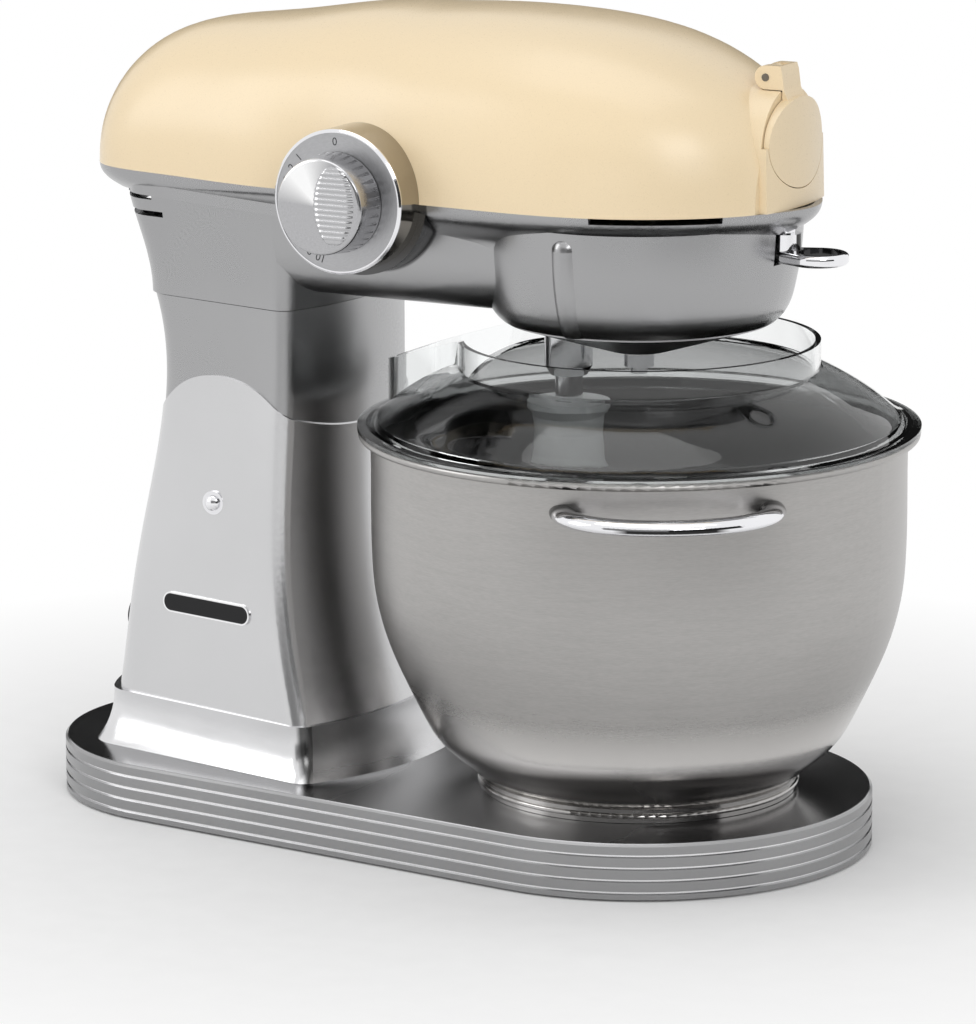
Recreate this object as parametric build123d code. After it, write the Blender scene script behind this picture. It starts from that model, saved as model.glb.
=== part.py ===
from build123d import *
import math
import os

# Frame: origin on the bowl's axis at floor level, X towards the nose, Z up, millimetres

# Fits
running_gap = 0.05
part_gap = 0.4
# Cutters run past the faces they cut: a little, or right across the object
overrun = 1.0
across = 300.0

# Base
base_rear_x = -199.0
base_rear_radius = 80.0
base_front_radius = 101.0
base_bottom_z = 1.0
base_top_z = 25.0
base_wall = 4.0
base_edge = 1.2
groove_count = 4
groove_pitch = 5.3
groove_height = 1.2
groove_depth = 1.0
plate_bottom_z = 2.0
plate_thickness = 2.0
foot_radius = 9.0
foot_inset = 18.0
front_foot_angle = 50.0
rear_foot_angle = 130.0
screw_head_radius = 3.5
screw_head_height = 1.2
base_screw_spots = ((60.0, 0.0), (-40.0, 70.0), (-40.0, -70.0), (-150.0, 60.0), (-150.0, -60.0), (-255.0, 0.0))

# Bowl and its dock
bowl_foot_radius = 68.3
bowl_foot_wall = 2.4
bowl_foot_top_z = 31.0
foot_bead_radius = 1.2
foot_bead_z = 28.2
bowl_sheet = 1.4
bowl_wall_radius = 114.6
bowl_spin_top_z = 172.0
bead_centre_radius = 118.2
bead_radius = 1.8
bead_centre_z = 180.4
bowl_outside = (
    (bowl_foot_radius, bowl_foot_top_z),
    (78.0, 39.5),
    (86.5, 47.5),
    (94.0, 60.0),
    (99.8, 72.0),
    (106.0, 86.0),
    (110.3, 99.0),
    (113.0, 112.0),
    (114.3, 128.0),
    (bowl_wall_radius, 150.0),
    (bowl_wall_radius, bowl_spin_top_z),
)
dock_radius = 58.0
dock_height = 4.0
dock_tab_reach = 4.0
dock_tab_thickness = 1.6
dock_tab_angle = 26.0
lug_count = 3
lug_thickness = 1.6
lug_clearance = 1.0
handle_azimuth = -56.2
handle_half_angle = 22.3
handle_reach = 141.0
handle_shoulder_share = 0.72
handle_shoulder_reach = 132.0
handle_z = 168.0
handle_half_width = 5.5
handle_half_height = 3.4

# Splash lid
lid_thickness = 2.4
lid_flange_radius = 120.3
lid_flange_z = bead_centre_z + bead_radius
lid_outside = (
    (78.5, 208.0),
    (90.0, 202.4),
    (100.0, 196.2),
    (106.0, 191.8),
    (112.0, 187.0),
    (116.5, 184.6),
)
lid_rim_drop = 0.6
lid_locating_depth = 5.0
collar_radius = 77.3
collar_root = 8.0
collar_top_z = 220.4
chute_half_width = 30.0
chute_end_x = -111.0
chute_corner = 12.0
chute_bend = 14.0
chute_outer_top_z = 205.5

# Column plans: height, front middle x, front corner x and half width, rear corner x and half width, rear middle x
plinth_stations = (
    (25.0, -103.0, -126.0, 73.0, -245.5, 50.0, -259.0),
    (31.0, -109.5, -128.5, 69.0, -243.0, 45.5, -256.5),
    (48.0, -115.0, -130.5, 66.5, -240.5, 43.0, -253.5),
)
column_stations = (
    (48.0, -117.0, -132.5, 64.5, -238.0, 41.5, -251.0),
    (75.0, -126.0, -140.0, 60.5, -233.8, 41.2, -246.8),
    (104.0, -132.0, -145.0, 58.0, -228.8, 41.0, -242.3),
    (150.0, -134.5, -146.0, 56.0, -218.8, 40.0, -232.3),
    (183.0, -134.0, -144.5, 55.0, -213.5, 39.5, -227.0),
    (227.5, -132.5, -144.0, 54.0, -218.0, 40.0, -231.0),
)
column_top_z = column_stations[-1][0]
neck_stations = (
    (227.9, -132.5, -144.0, 54.0, -218.5, 40.0, -231.5),
    (243.0, -131.5, -143.5, 54.5, -219.5, 41.5, -233.5),
    (258.0, -130.0, -142.0, 56.0, -222.0, 44.0, -239.0),
    (272.0, -124.0, -138.0, 58.0, -225.0, 46.0, -243.0),
)
front_corner_round = 8.0
rear_corner_round = 17.0
plinth_wall = 6.0
column_wall = 4.0
neck_step = 0.7
arch_line = (
    (-250.0, 150.0),
    (-226.0, 170.0),
    (-212.0, 182.5),
    (-204.0, 189.0),
    (-194.0, 193.5),
    (-181.0, 195.3),
    (-168.0, 194.0),
    (-157.0, 190.0),
    (-147.0, 183.5),
    (-134.0, 172.0),
    (-100.0, 140.0),
)
button_x = -183.6
button_z = 139.3
button_radius = 3.3
button_rise = 3.4
button_face_y = -48.6
button_length = 9.0
sleeve_radius = 5.2
sleeve_end_y = -30.0
sleeve_floor = 2.0
sleeve_lip = 0.8
spring_wire_radius = 0.35
spring_radius = 2.3
spring_turns = 6.0
badge_centre_x = -187.0
badge_centre_z = 92.0
badge_length = 50.0
badge_height = 9.0
badge_thickness = 1.0
gland_z = 72.0
gland_inner_x = -237.5
gland_outer_x = -254.5
gland_radius = 5.5
gland_flange_radius = 8.5
gland_bore_radius = 3.6

# Head hinge
hinge_x = -220.0
hinge_z = 257.0
hinge_pin_radius = 3.5
hinge_eye_radius = 7.0
hinge_ear_inner = 12.5
hinge_ear_thickness = 6.0
hinge_base_rear = 26.0
hinge_base_front = 62.0
hinge_base_thickness = 3.0
hinge_ear_foot = 4.0
hinge_pin_end = 1.5
hinge_web_half = 5.0
hinge_web_rear_x = -238.0

# Head: seam height, and plan of the seam as x and half width from the rear to the front
seam_z = 283.0
head_plan = (
    (-257.0, 0.0),
    (-254.5, 21.0),
    (-247.0, 36.5),
    (-236.0, 45.0),
    (-215.0, 51.0),
    (-190.0, 56.0),
    (-140.0, 64.0),
    (-95.0, 69.5),
    (-51.0, 73.3),
    (-13.0, 74.6),
    (20.0, 69.0),
    (42.0, 58.5),
    (57.0, 47.0),
    (73.0, 26.0),
    (82.0, 0.0),
)
# Cover: x, half width, top height
cover_stations = (
    (-254.5, 21.0, 297.0),
    (-247.0, 36.5, 317.0),
    (-236.0, 45.0, 331.0),
    (-215.0, 51.0, 342.8),
    (-190.0, 56.0, 347.8),
    (-140.0, 64.0, 354.8),
    (-95.0, 69.5, 358.2),
    (-51.0, 73.3, 359.4),
    (-13.0, 74.6, 357.2),
    (20.0, 69.0, 350.4),
    (42.0, 58.5, 341.2),
    (57.0, 47.0, 331.5),
    (70.0, 31.0, 316.0),
)
cover_squareness = 2.4
cover_steps = 14
cover_wall = 2.6
casing_wall = 3.0
# Casing below the seam: height and inset from the seam's plan
casing_levels = (
    (seam_z, 0.0),
    (279.0, 1.2),
    (274.5, 6.0),
    (262.0, 17.0),
)
# Arm between neck and nose: height and half width, from the underside up
arm_profile = (
    (234.0, 30.0),
    (236.5, 42.0),
    (246.0, 52.5),
    (262.0, 57.0),
    (275.0, 58.0),
)
arm_rear_x = -147.0
arm_front_x = -20.0
# Nose of revolution about the bowl's axis: radius and height
nose_profile = (
    (58.8, 230.0),
    (63.6, 236.0),
    (66.6, 246.0),
    (68.6, 258.0),
    (69.8, 275.5),
)
# Side ribs of the nose: round bars let into it, with the crest's distance from the bowl's axis and height
rib_radius = 6.0
rib_crest = ((58.3, 230.0), (64.8, 236.0), (68.8, 246.0), (71.0, 258.0), (71.7, 268.0))
bearing_ledge_height = 3.5
bearing_ledge_gap = 3.0
bracket_ledge_height = 3.0
bracket_ledge_width = 7.0
bracket_ledge_ends = (-226.0, -118.0)
rear_slit_height = 2.4
rear_slits = ((271.5, -214.0), (264.0, -208.5))
nose_slot_height = 2.6
nose_slot_depth = 5.0
nose_slot_start = -79.5
nose_slot_end = -35.0

# Front hub
hub_half_width = 27.0
hub_arch_z = 306.0
hub_front_x = 76.9
hub_lean = 1.5
hub_front_round = 110.0
hub_root_x = 20.0
hub_face_x = 70.4
hub_cover_z = 310.0
hub_cover_half_width = 25.0
hub_cover_half_height = 19.0
hub_pin_x = 63.0
hub_pin_z = 337.0
hub_pin_radius = 1.6
hub_knuckle_radius = 5.0
hub_knuckle_half = 8.0
hub_ear_half = 3.2
hub_ear_radius = 4.8
hub_ear_root = 14.0
hub_lug_top = 6.8
hub_lug_front = 8.6
hub_lug_foot = 12.0
hub_lug_drop = 12.0
hub_fork_depth = 5.8
hub_socket_radius = 14.0
hub_socket_bore = 9.0
hub_socket_rear_x = 46.0
hub_socket_depth = 20.0

# Clamp lever under the front hub
lever_x = 69.0
lever_post_radius = 6.6
lever_stem_radius = 4.0
lever_z = 259.0
lever_thickness = 5.0
lever_ring_x = 84.0
lever_ring_radius = 13.0
lever_ring_hole = 9.0
lever_post_top_z = 271.0
lever_stem_top_z = 279.0
lever_edge_round = 1.8
lever_niche_gap = 2.8
lever_niche_wall = 2.5

# Speed dial
dial_x = -96.8
dial_z = 284.0
dial_collar_radius = 30.7
dial_plate_radius = 29.3
dial_front_y = -88.0
dial_back_y = -52.0
dial_plate_thickness = 2.0
dial_plate_recess = 0.3
dial_edge = 0.8
dial_boss_radius = 33.4
dial_boss_y = -71.0
knob_base_radius = 21.4
knob_face_radius = 20.2
knob_height = 15.0
knob_flutes = 36
knob_flute_radius = 0.8
knob_flute_ends = (2.5, 1.0)
knob_edge = 1.4
knob_face_thickness = 4.0
knob_shaft_radius = 3.0
switch_radius = 13.0
switch_depth = 12.0
switch_floor = 2.6
board_thickness = 1.6
board_half_length = 28.0
board_below = 16.0
board_above = 18.0

# Planetary drive
tool_offset = 34.0
gear_module = 2.0
ring_teeth = 48
pinion_teeth = 14
gear_backlash = 0.35
gear_pressure_angle = 20.0
gear_tip = 0.8
gear_root = 1.2
gear_flank_steps = 3
ring_outer_radius = 54.5
gear_bottom_z = 239.0
gear_height = 10.0
carrier_radius = 57.2
carrier_rim_z = 229.0
carrier_top_z = 236.0
carrier_tip_radius = 13.0
carrier_tip_z = 215.5
nut_radius = 6.5
nut_bottom_z = 205.5
nut_tip_share = 0.55
nut_tip_length = 3.0
main_shaft_radius = 7.0
plate_z = 252.0
plate_height = 4.0
plate_radius = 62.0
bearing_radius = 12.0
bearing_stand = 2.0
plate_screw_radius = 52.0
plate_screw_count = 4
plate_screw_height = 2.4
pulley_bottom_z = 262.0
pulley_height = 12.0
shaft_end = 3.0
driven_pulley_radius = 40.0
motor_pulley_radius = 9.0
motor_x = -172.0
belt_thickness = 2.2
belt_height = 9.0

# Beater shaft and tool
shaft_radius = 6.0
socket_radius = 10.4
socket_top_z = 226.4
socket_cone_z = 206.0
socket_bottom_z = 202.0
socket_tip_radius = 8.0
shaft_bottom_z = 165.0
tool_hub_top_z = 190.5
cross_pin_radius = 1.5
cross_pin_half = 9.0
cross_pin_drop = 9.0
# Tool hub's outside below its top rim: drop and radius
tool_hub_shape = ((0.0, 17.8), (3.0, 17.8), (6.0, 15.4), (14.0, 14.6), (22.0, 15.4), (32.5, 17.0), (36.5, 14.8))
hook_rod_radius = 6.0
hook_top_z = 162.0
hook_shank_z = 150.0
# Middle line of the hook's rod below its straight shank, from the beater shaft's axis
hook_points = (
    (0.0, 0.0, hook_shank_z),
    (10.0, 4.0, 126.0),
    (27.0, 6.0, 104.0),
    (32.0, -2.0, 80.0),
    (19.0, -15.0, 62.0),
    (2.0, -19.0, 52.5),
    (-15.0, -13.5, 48.5),
    (-22.0, 0.0, 50.0),
)
hook_end_lean = (-0.2, 1.0, 0.15)

# Motor
bracket_z = 281.0
bracket_thickness = 3.0
bracket_inset = 5.0
bracket_ends = (-224.0, -120.0)
bracket_hole_gap = 3.0
motor_can_radius = 34.0
motor_can_height = 44.0
motor_can_wall = 3.0
motor_shaft_radius = 3.0
motor_shaft_end = 9.0
armature_radius = 22.0
armature_gap = 7.0
fan_radius = 25.0
fan_hub_radius = 8.0
fan_height = 6.0
fan_gap = 2.0
fan_blades = 8
fan_blade_half = 0.8


def at(solid, x, y, z):
    return Pos(x, y, z) * solid


def upright(radius, bottom, top, x=0.0, y=0.0):
    # Vertical cylinder between two heights
    return at(Cylinder(radius, top - bottom, align=(Align.CENTER, Align.CENTER, Align.MIN)), x, y, bottom)


def along_y(radius, near, far, x, z):
    # Cylinder along Y between two y values
    rod = Cylinder(radius, far - near, align=(Align.CENTER, Align.CENTER, Align.MIN))
    return Pos(x, near, z) * Rot(-90, 0, 0) * rod


def along_x(radius, rear, front, y, z):
    # Cylinder along X between two x values
    rod = Cylinder(radius, front - rear, align=(Align.CENTER, Align.CENTER, Align.MIN))
    return Pos(rear, y, z) * Rot(0, 90, 0) * rod


def block(x0, x1, y0, y1, z0, z1):
    # Box between two corners
    return at(Box(x1 - x0, y1 - y0, z1 - z0), (x0 + x1) / 2, (y0 + y1) / 2, (z0 + z1) / 2)


def turned(points):
    # Solid of revolution about Z from a closed outline of radius and height
    outline = Polyline(*[(radius, 0, height) for radius, height in points], close=True)
    return revolve(make_face(outline), Axis.Z)


def slab(points, bottom, top):
    # Upright prism from a closed plan outline
    outline = Polyline(*[(x, y, bottom) for x, y in points], close=True)
    return extrude(make_face(outline), top - bottom, dir=(0, 0, 1))


def side_slab(points, near, far):
    # Prism along Y from a closed side outline of x and z
    outline = Polyline(*[(x, near, z) for x, z in points], close=True)
    return extrude(make_face(outline), far - near, dir=(0, 1, 0))


def inset_points(points, amount):
    # Moves an open run of points to its left by an amount, square to the run
    moved = []
    for index, (out, up) in enumerate(points):
        before = points[max(index - 1, 0)]
        after = points[min(index + 1, len(points) - 1)]
        run = math.hypot(after[0] - before[0], after[1] - before[1])
        step_out = (after[0] - before[0]) / run
        step_up = (after[1] - before[1]) / run
        moved.append((out - step_up * amount, up + step_out * amount))
    return moved


# Base: hull of a rear and a front circle, hollow below, grooved round its side
base_reach = -base_rear_x


def base_plan(inset, height):
    rear = base_rear_radius - inset
    front = base_front_radius - inset
    lean = math.asin((front - rear) / base_reach)
    front_x = -front * math.sin(lean)
    front_y = front * math.cos(lean)
    rear_x = base_rear_x - rear * math.sin(lean)
    rear_y = rear * math.cos(lean)
    edges = [
        ThreePointArc((front_x, -front_y, height), (front, 0, height), (front_x, front_y, height)),
        Line((front_x, front_y, height), (rear_x, rear_y, height)),
        ThreePointArc((rear_x, rear_y, height), (base_rear_x - rear, 0, height), (rear_x, -rear_y, height)),
        Line((rear_x, -rear_y, height), (front_x, -front_y, height)),
    ]
    return make_face(edges)


def base_prism(inset, bottom, top):
    return extrude(base_plan(inset, bottom), top - bottom, dir=(0, 0, 1))


base_casting = base_prism(0, base_bottom_z, base_top_z)
base_casting = chamfer(base_casting.faces().sort_by(Axis.Z)[-1].edges(), base_edge)
for groove in range(groove_count):
    groove_top = base_top_z - groove_pitch * (groove + 1) + groove_height / 2
    ring = base_prism(-overrun, groove_top - groove_height, groove_top)
    base_casting -= ring - base_prism(groove_depth, groove_top - groove_height, groove_top)
base_casting -= base_prism(base_wall, base_bottom_z, base_top_z - base_wall)

bottom_plate = base_prism(base_wall, plate_bottom_z, plate_bottom_z + plate_thickness)

# A foot at each corner and one under the bowl's axis
foot_spots = [(0.0, 0.0)]
foot_rounds = ((0.0, base_front_radius, front_foot_angle), (base_rear_x, base_rear_radius, rear_foot_angle))
for middle_x, round_radius, turn in foot_rounds:
    reach = round_radius - foot_inset
    for angle in (math.radians(-turn), math.radians(turn)):
        foot_spots.append((middle_x + reach * math.cos(angle), reach * math.sin(angle)))
rubber_feet = Part() + [upright(foot_radius, 0, plate_bottom_z, x, y) for x, y in foot_spots]
base_screws = Part()
for x, y in base_screw_spots:
    base_screws += upright(screw_head_radius, plate_bottom_z - screw_head_height, plate_bottom_z, x, y)

# Bowl dock: disc with three tabs that overhang the bowl's lugs
dock_top_z = base_top_z + dock_height
bowl_foot_inner = bowl_foot_radius - bowl_foot_wall


def sector(inner, outer, bottom, top, middle, spread):
    # Part of a ring between two radii, over an angle about the bowl's axis
    ring = upright(outer, bottom, top) - upright(inner, bottom, top)
    reach = outer * 2
    corners = [(0, 0)]
    for share in (-0.5, 0, 0.5):
        angle = math.radians(middle + share * spread)
        corners.append((reach * math.cos(angle), reach * math.sin(angle)))
    return ring & slab(corners, bottom, top)


bowl_dock = upright(dock_radius, base_top_z, dock_top_z)
for turn in range(lug_count):
    bowl_dock += sector(
        dock_radius - overrun,
        dock_radius + dock_tab_reach,
        dock_top_z - dock_tab_thickness,
        dock_top_z,
        turn * 360 / lug_count,
        dock_tab_angle,
    )

# Bowl: spun wall with a rolled rim and a foot ring that carries the bayonet lugs, and a floor disc let into it
bowl_inside = inset_points(bowl_outside, bowl_sheet)
lip_half = bead_radius / 2
wall_edges = [
    Spline(*[(radius, 0, height) for radius, height in bowl_outside]),
    Polyline(
        (bowl_wall_radius, 0, bowl_spin_top_z),
        (bowl_wall_radius, 0, bead_centre_z - lip_half),
        (bead_centre_radius, 0, bead_centre_z - lip_half),
        (bead_centre_radius, 0, bead_centre_z + lip_half),
        (bowl_inside[-1][0], 0, bead_centre_z + lip_half),
        (bowl_inside[-1][0], 0, bowl_inside[-1][1]),
    ),
    Spline(*[(radius, 0, height) for radius, height in reversed(bowl_inside)]),
    Polyline(
        (bowl_inside[0][0], 0, bowl_inside[0][1]),
        (0, 0, bowl_inside[0][1]),
        (0, 0, bowl_foot_top_z),
        (bowl_foot_radius, 0, bowl_foot_top_z),
    ),
]
bowl = revolve(make_face(wall_edges), Axis.Z)
bead = revolve(Pos(bead_centre_radius, 0, bead_centre_z) * (Rot(90, 0, 0) * Circle(bead_radius)), Axis.Z)
bowl += bead
foot_bottom_z = base_top_z + part_gap / 2
foot_ring = upright(bowl_foot_radius, foot_bottom_z, bowl_foot_top_z)
foot_ring -= upright(bowl_foot_inner, foot_bottom_z, bowl_foot_top_z)
foot_bead = Pos(bowl_foot_radius, 0, foot_bead_z) * (Rot(90, 0, 0) * Circle(foot_bead_radius))
bowl += foot_ring + revolve(foot_bead, Axis.Z)
lug_inner = dock_radius + lug_clearance
for turn in range(lug_count):
    bowl += sector(
        lug_inner,
        bowl_foot_inner + bowl_foot_wall / 4,
        foot_bottom_z,
        foot_bottom_z + lug_thickness,
        turn * 360 / lug_count,
        dock_tab_angle,
    )

bowl_floor = upright(bowl_foot_inner, bowl_foot_top_z, bowl_inside[0][1])
bowl -= bowl_floor

# Bowl handle: bowed bar whose ends are welded to the bowl's wall
handle_path_points = []
handle_root = bowl_wall_radius - overrun
handle_line = (
    (-1, handle_root),
    (-handle_shoulder_share, handle_shoulder_reach),
    (0, handle_reach),
    (handle_shoulder_share, handle_shoulder_reach),
    (1, handle_root),
)
for share, reach in handle_line:
    angle = math.radians(handle_azimuth + share * handle_half_angle)
    handle_path_points.append((reach * math.cos(angle), reach * math.sin(angle), handle_z))
handle_path = Spline(*handle_path_points)
handle_start = Plane(handle_path @ 0, x_dir=(0, 0, 1), z_dir=handle_path % 0)
bowl_handle = sweep(handle_start * Ellipse(handle_half_height, handle_half_width), path=handle_path)
bowl_handle -= upright(bowl_wall_radius, handle_z - 2 * handle_half_height, handle_z + 2 * handle_half_height)

# Splash lid: clear dome with a collar for the nose, which opens into a filling chute at the rear
lid_inside = inset_points(lid_outside, -lid_thickness)[:-1]
lip_outer = bowl_inside[-1][0] - part_gap
lip_inner = lip_outer - lid_thickness
lid_edges = [
    Spline(*[(radius, 0, height) for radius, height in lid_outside]),
    Polyline(
        (lid_outside[-1][0], 0, lid_outside[-1][1]),
        (lid_flange_radius, 0, lid_outside[-1][1] - lid_rim_drop),
        (lid_flange_radius, 0, lid_flange_z),
        (lip_outer, 0, lid_flange_z),
        (lip_outer, 0, lid_flange_z - lid_locating_depth),
        (lip_inner, 0, lid_flange_z - lid_locating_depth),
        (lid_inside[-1][0], 0, lid_inside[-1][1]),
    ),
    Spline(*[(radius, 0, height) for radius, height in reversed(lid_inside)]),
    Polyline(
        (lid_inside[0][0], 0, lid_inside[0][1]),
        (collar_radius - collar_root, 0, lid_inside[0][1] + collar_root / 2),
        (collar_radius - collar_root, 0, lid_outside[0][1] + collar_root / 2),
        (lid_outside[0][0], 0, lid_outside[0][1]),
    ),
]
lid_dome = revolve(make_face(lid_edges), Axis.Z)
chute_length = -chute_end_x
chute_plan = Rectangle(chute_length, 2 * chute_half_width, align=(Align.MAX, Align.CENTER))
chute_plan = fillet(chute_plan.vertices().sort_by(Axis.X)[:2], chute_corner)
chute_plan = chute_plan + Circle(collar_radius)
meeting_x = -math.sqrt(collar_radius**2 - chute_half_width**2)
meeting = [point for point in chute_plan.vertices() if abs(point.X - meeting_x) < overrun]
chute_plan = fillet(meeting, chute_bend)
chute_hole = offset(chute_plan, -lid_thickness)
wall_bottom_z = lid_flange_z
lid_wall = extrude(Pos(0, 0, wall_bottom_z) * (chute_plan - chute_hole), collar_top_z - wall_bottom_z)
under_dome = [(0, wall_bottom_z - overrun), (0, lid_outside[0][1] - overrun)]
under_dome += inset_points(lid_outside, -lid_thickness / 2)
under_dome += [(lid_outside[-1][0], wall_bottom_z - overrun)]
lid_wall -= turned(under_dome)
chute_start_x = -collar_radius + chute_half_width / 2
chute_slope = (collar_top_z - chute_outer_top_z) / (chute_start_x - chute_end_x)
above_chute = [
    (chute_start_x, collar_top_z),
    (chute_end_x - overrun, chute_outer_top_z - overrun * chute_slope),
    (chute_end_x - overrun, collar_top_z + overrun),
    (chute_start_x, collar_top_z + overrun),
]
lid_wall -= side_slab(above_chute, -collar_radius, collar_radius)
lid_opening = extrude(Pos(0, 0, wall_bottom_z - 2 * lid_locating_depth) * chute_hole, across, dir=(0, 0, 1))
splash_lid = lid_dome - lid_opening + lid_wall

# Plinth and column: wedge plan with rounded corners, narrower at the rear


def wedge(station, grow=0.0):
    height, front_middle, front_x, front_half, rear_x, rear_half, rear_middle = station
    front_middle += grow
    front_x += grow
    front_half += grow
    rear_half += grow
    rear_x -= grow
    rear_middle -= grow
    outline = [
        ThreePointArc((front_x, -front_half), (front_middle, 0), (front_x, front_half)),
        Line((front_x, front_half), (rear_x, rear_half)),
        ThreePointArc((rear_x, rear_half), (rear_middle, 0), (rear_x, -rear_half)),
        Line((rear_x, -rear_half), (front_x, -front_half)),
    ]
    plan = Sketch() + make_face(outline)
    corners = plan.vertices().sort_by(Axis.X)
    plan = fillet(corners[2:], front_corner_round + grow)
    corners = [point for point in plan.vertices() if abs(point.X - rear_x) < running_gap]
    plan = fillet(corners, rear_corner_round + grow)
    return Pos(0, 0, height) * plan


def wedge_body(stations, grow=0.0):
    return loft([wedge(station, grow) for station in stations])


def at_height(station, height):
    # Same plan at another height
    return (height,) + station[1:]


plinth_skirt = wedge_body(plinth_stations)
plinth_hole = [at_height(plinth_stations[0], base_top_z - overrun)] + list(plinth_stations[1:])
plinth_hole[-1] = at_height(plinth_stations[-1], plinth_stations[-1][0] + overrun)
plinth_skirt -= wedge_body(plinth_hole, -plinth_wall)

column_outer = wedge_body(column_stations)
cavity_stations = [at_height(column_stations[0], column_stations[0][0] - overrun)]
cavity_stations += list(column_stations[1:-1])
cavity_stations += [at_height(column_stations[-1], column_top_z - column_wall)]
column_cavity = wedge_body(cavity_stations, -column_wall)
arch_edges = [
    Spline(*[(x, -across, z) for x, z in arch_line]),
    Polyline(
        (arch_line[-1][0], -across, arch_line[-1][1]),
        (arch_line[-1][0], -across, across),
        (arch_line[0][0], -across, across),
        (arch_line[0][0], -across, arch_line[0][1]),
    ),
]
above_arch = extrude(make_face(arch_edges), 2 * across, dir=(0, 1, 0))
column_shell = column_outer - column_cavity - above_arch
column_neck = (wedge_body(column_stations, -neck_step) & above_arch) - column_cavity

# Release button, its sleeve and its return spring in the column's near side
sleeve_hole = along_y(sleeve_radius, -across, sleeve_end_y, button_x, button_z)
column_shell -= sleeve_hole
sleeve_mouth_y = button_face_y - sleeve_lip
button_sleeve = along_y(sleeve_radius, sleeve_mouth_y, sleeve_end_y, button_x, button_z)
sleeve_floor_y = sleeve_end_y - sleeve_floor
button_sleeve -= along_y(button_radius + running_gap, -across, sleeve_floor_y, button_x, button_z)
button_top_y = button_face_y - button_rise
button_end_y = button_top_y + button_length
dome_radius = button_radius * 1.3
dome_centre_y = button_top_y + dome_radius
dome_edge_y = dome_centre_y - math.sqrt(dome_radius**2 - button_radius**2)
button_dome = along_y(button_radius, button_top_y, dome_edge_y, button_x, button_z)
button_dome &= at(Sphere(dome_radius), button_x, dome_centre_y, button_z)
release_button = along_y(button_radius, dome_edge_y, button_end_y, button_x, button_z) + button_dome
spring_length = sleeve_floor_y - button_end_y - 2 * spring_wire_radius
coil = Helix(spring_length / spring_turns, spring_length, spring_radius)
coil_face = Plane(coil @ 0, z_dir=coil % 0) * Circle(spring_wire_radius)
release_spring = sweep(coil_face, path=coil, is_frenet=True)
release_spring = Pos(button_x, button_end_y + spring_wire_radius, button_z) * Rot(-90, 0, 0) * release_spring

# Blank badge that follows the column's side
badge_outline = Rot(90, 0, 0) * SlotOverall(badge_length, badge_height)
badge_outline = at(badge_outline, badge_centre_x, 0, badge_centre_z)
badge_prism = extrude(badge_outline, across, dir=(0, -1, 0))
badge_plate = (wedge_body(column_stations, badge_thickness) & badge_prism) - column_outer

# Cord gland at the rear of the column
column_shell -= along_x(gland_radius, -across, gland_inner_x, 0, gland_z)
cord_gland = along_x(gland_flange_radius, gland_outer_x, gland_inner_x, 0, gland_z) - column_outer
cord_gland += along_x(gland_radius, gland_outer_x, gland_inner_x, 0, gland_z)
cord_gland -= along_x(gland_bore_radius, gland_outer_x - overrun, gland_inner_x + overrun, 0, gland_z)

# Head hinge: leaning ears on the column's roof hold the pin
hinge_foot_rear = hinge_x + hinge_base_rear
hinge_foot_front = hinge_x + hinge_base_front
hinge_base_z = column_top_z + hinge_base_thickness
ear_outline = [
    (hinge_x - hinge_eye_radius * 0.7, hinge_z - hinge_eye_radius * 0.7),
    (hinge_foot_rear, column_top_z + hinge_ear_foot),
    (hinge_foot_rear, column_top_z),
    (hinge_foot_front, column_top_z),
    (hinge_foot_front, column_top_z + hinge_ear_foot),
    (hinge_x + hinge_eye_radius * 0.8, hinge_z + hinge_eye_radius * 0.6),
]
ear_outer = hinge_ear_inner + hinge_ear_thickness
hinge_bracket = block(hinge_foot_rear, hinge_foot_front, -ear_outer, ear_outer, column_top_z, hinge_base_z)
for near in (-ear_outer, hinge_ear_inner):
    far = near + hinge_ear_thickness
    hinge_bracket += side_slab(ear_outline, near, far)
    hinge_bracket += along_y(hinge_eye_radius, near, far, hinge_x, hinge_z)
hinge_bracket -= along_y(hinge_pin_radius, -across, across, hinge_x, hinge_z)
pin_half = ear_outer + hinge_pin_end
hinge_pin = along_y(hinge_pin_radius, -pin_half, pin_half, hinge_x, hinge_z)

# Head seam plan: closed smooth curve, moved inwards square to itself for the lower levels


def head_outline(inset, height):
    side = list(head_plan[1:-1])
    loop = [head_plan[0]] + side + [head_plan[-1]] + [(x, -half) for x, half in reversed(side)]
    moved = []
    for index, (x, y) in enumerate(loop):
        before = loop[index - 1]
        after = loop[(index + 1) % len(loop)]
        run = math.hypot(after[0] - before[0], after[1] - before[1])
        step_x = (after[0] - before[0]) / run
        step_y = (after[1] - before[1]) / run
        moved.append((x + step_y * inset, y - step_x * inset, height))
    return make_face(Spline(*moved, periodic=True))


def head_tray(grow, top_z):
    sections = [head_outline(inset + grow, height) for height, inset in casing_levels]
    if top_z > seam_z:
        sections = [head_outline(grow, top_z)] + sections
    return loft(sections)


def arm_body(inset):
    half = []
    for half_width, height in inset_points([(half, height) for height, half in arm_profile], inset):
        half.append((arm_rear_x, half_width, height))
    other = [(x, -y, z) for x, y, z in half]
    edges = [
        Spline(*half),
        Line(half[-1], other[-1]),
        Spline(*reversed(other)),
        Line(other[0], half[0]),
    ]
    return extrude(make_face(edges), arm_front_x - arm_rear_x, dir=(1, 0, 0))


def nose_body(inset, bottom_radius):
    side = inset_points(nose_profile, inset)
    edges = [
        Spline(*[(radius, 0, height) for radius, height in side]),
        Polyline(
            (side[-1][0], 0, side[-1][1]),
            (0, 0, side[-1][1]),
            (0, 0, side[0][1]),
            (side[0][0], 0, side[0][1]),
        ),
    ]
    body = revolve(make_face(edges), Axis.Z)
    if bottom_radius:
        body += upright(bottom_radius, nose_profile[0][1] - overrun, carrier_top_z + 2 * overrun)
    return body


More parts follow.
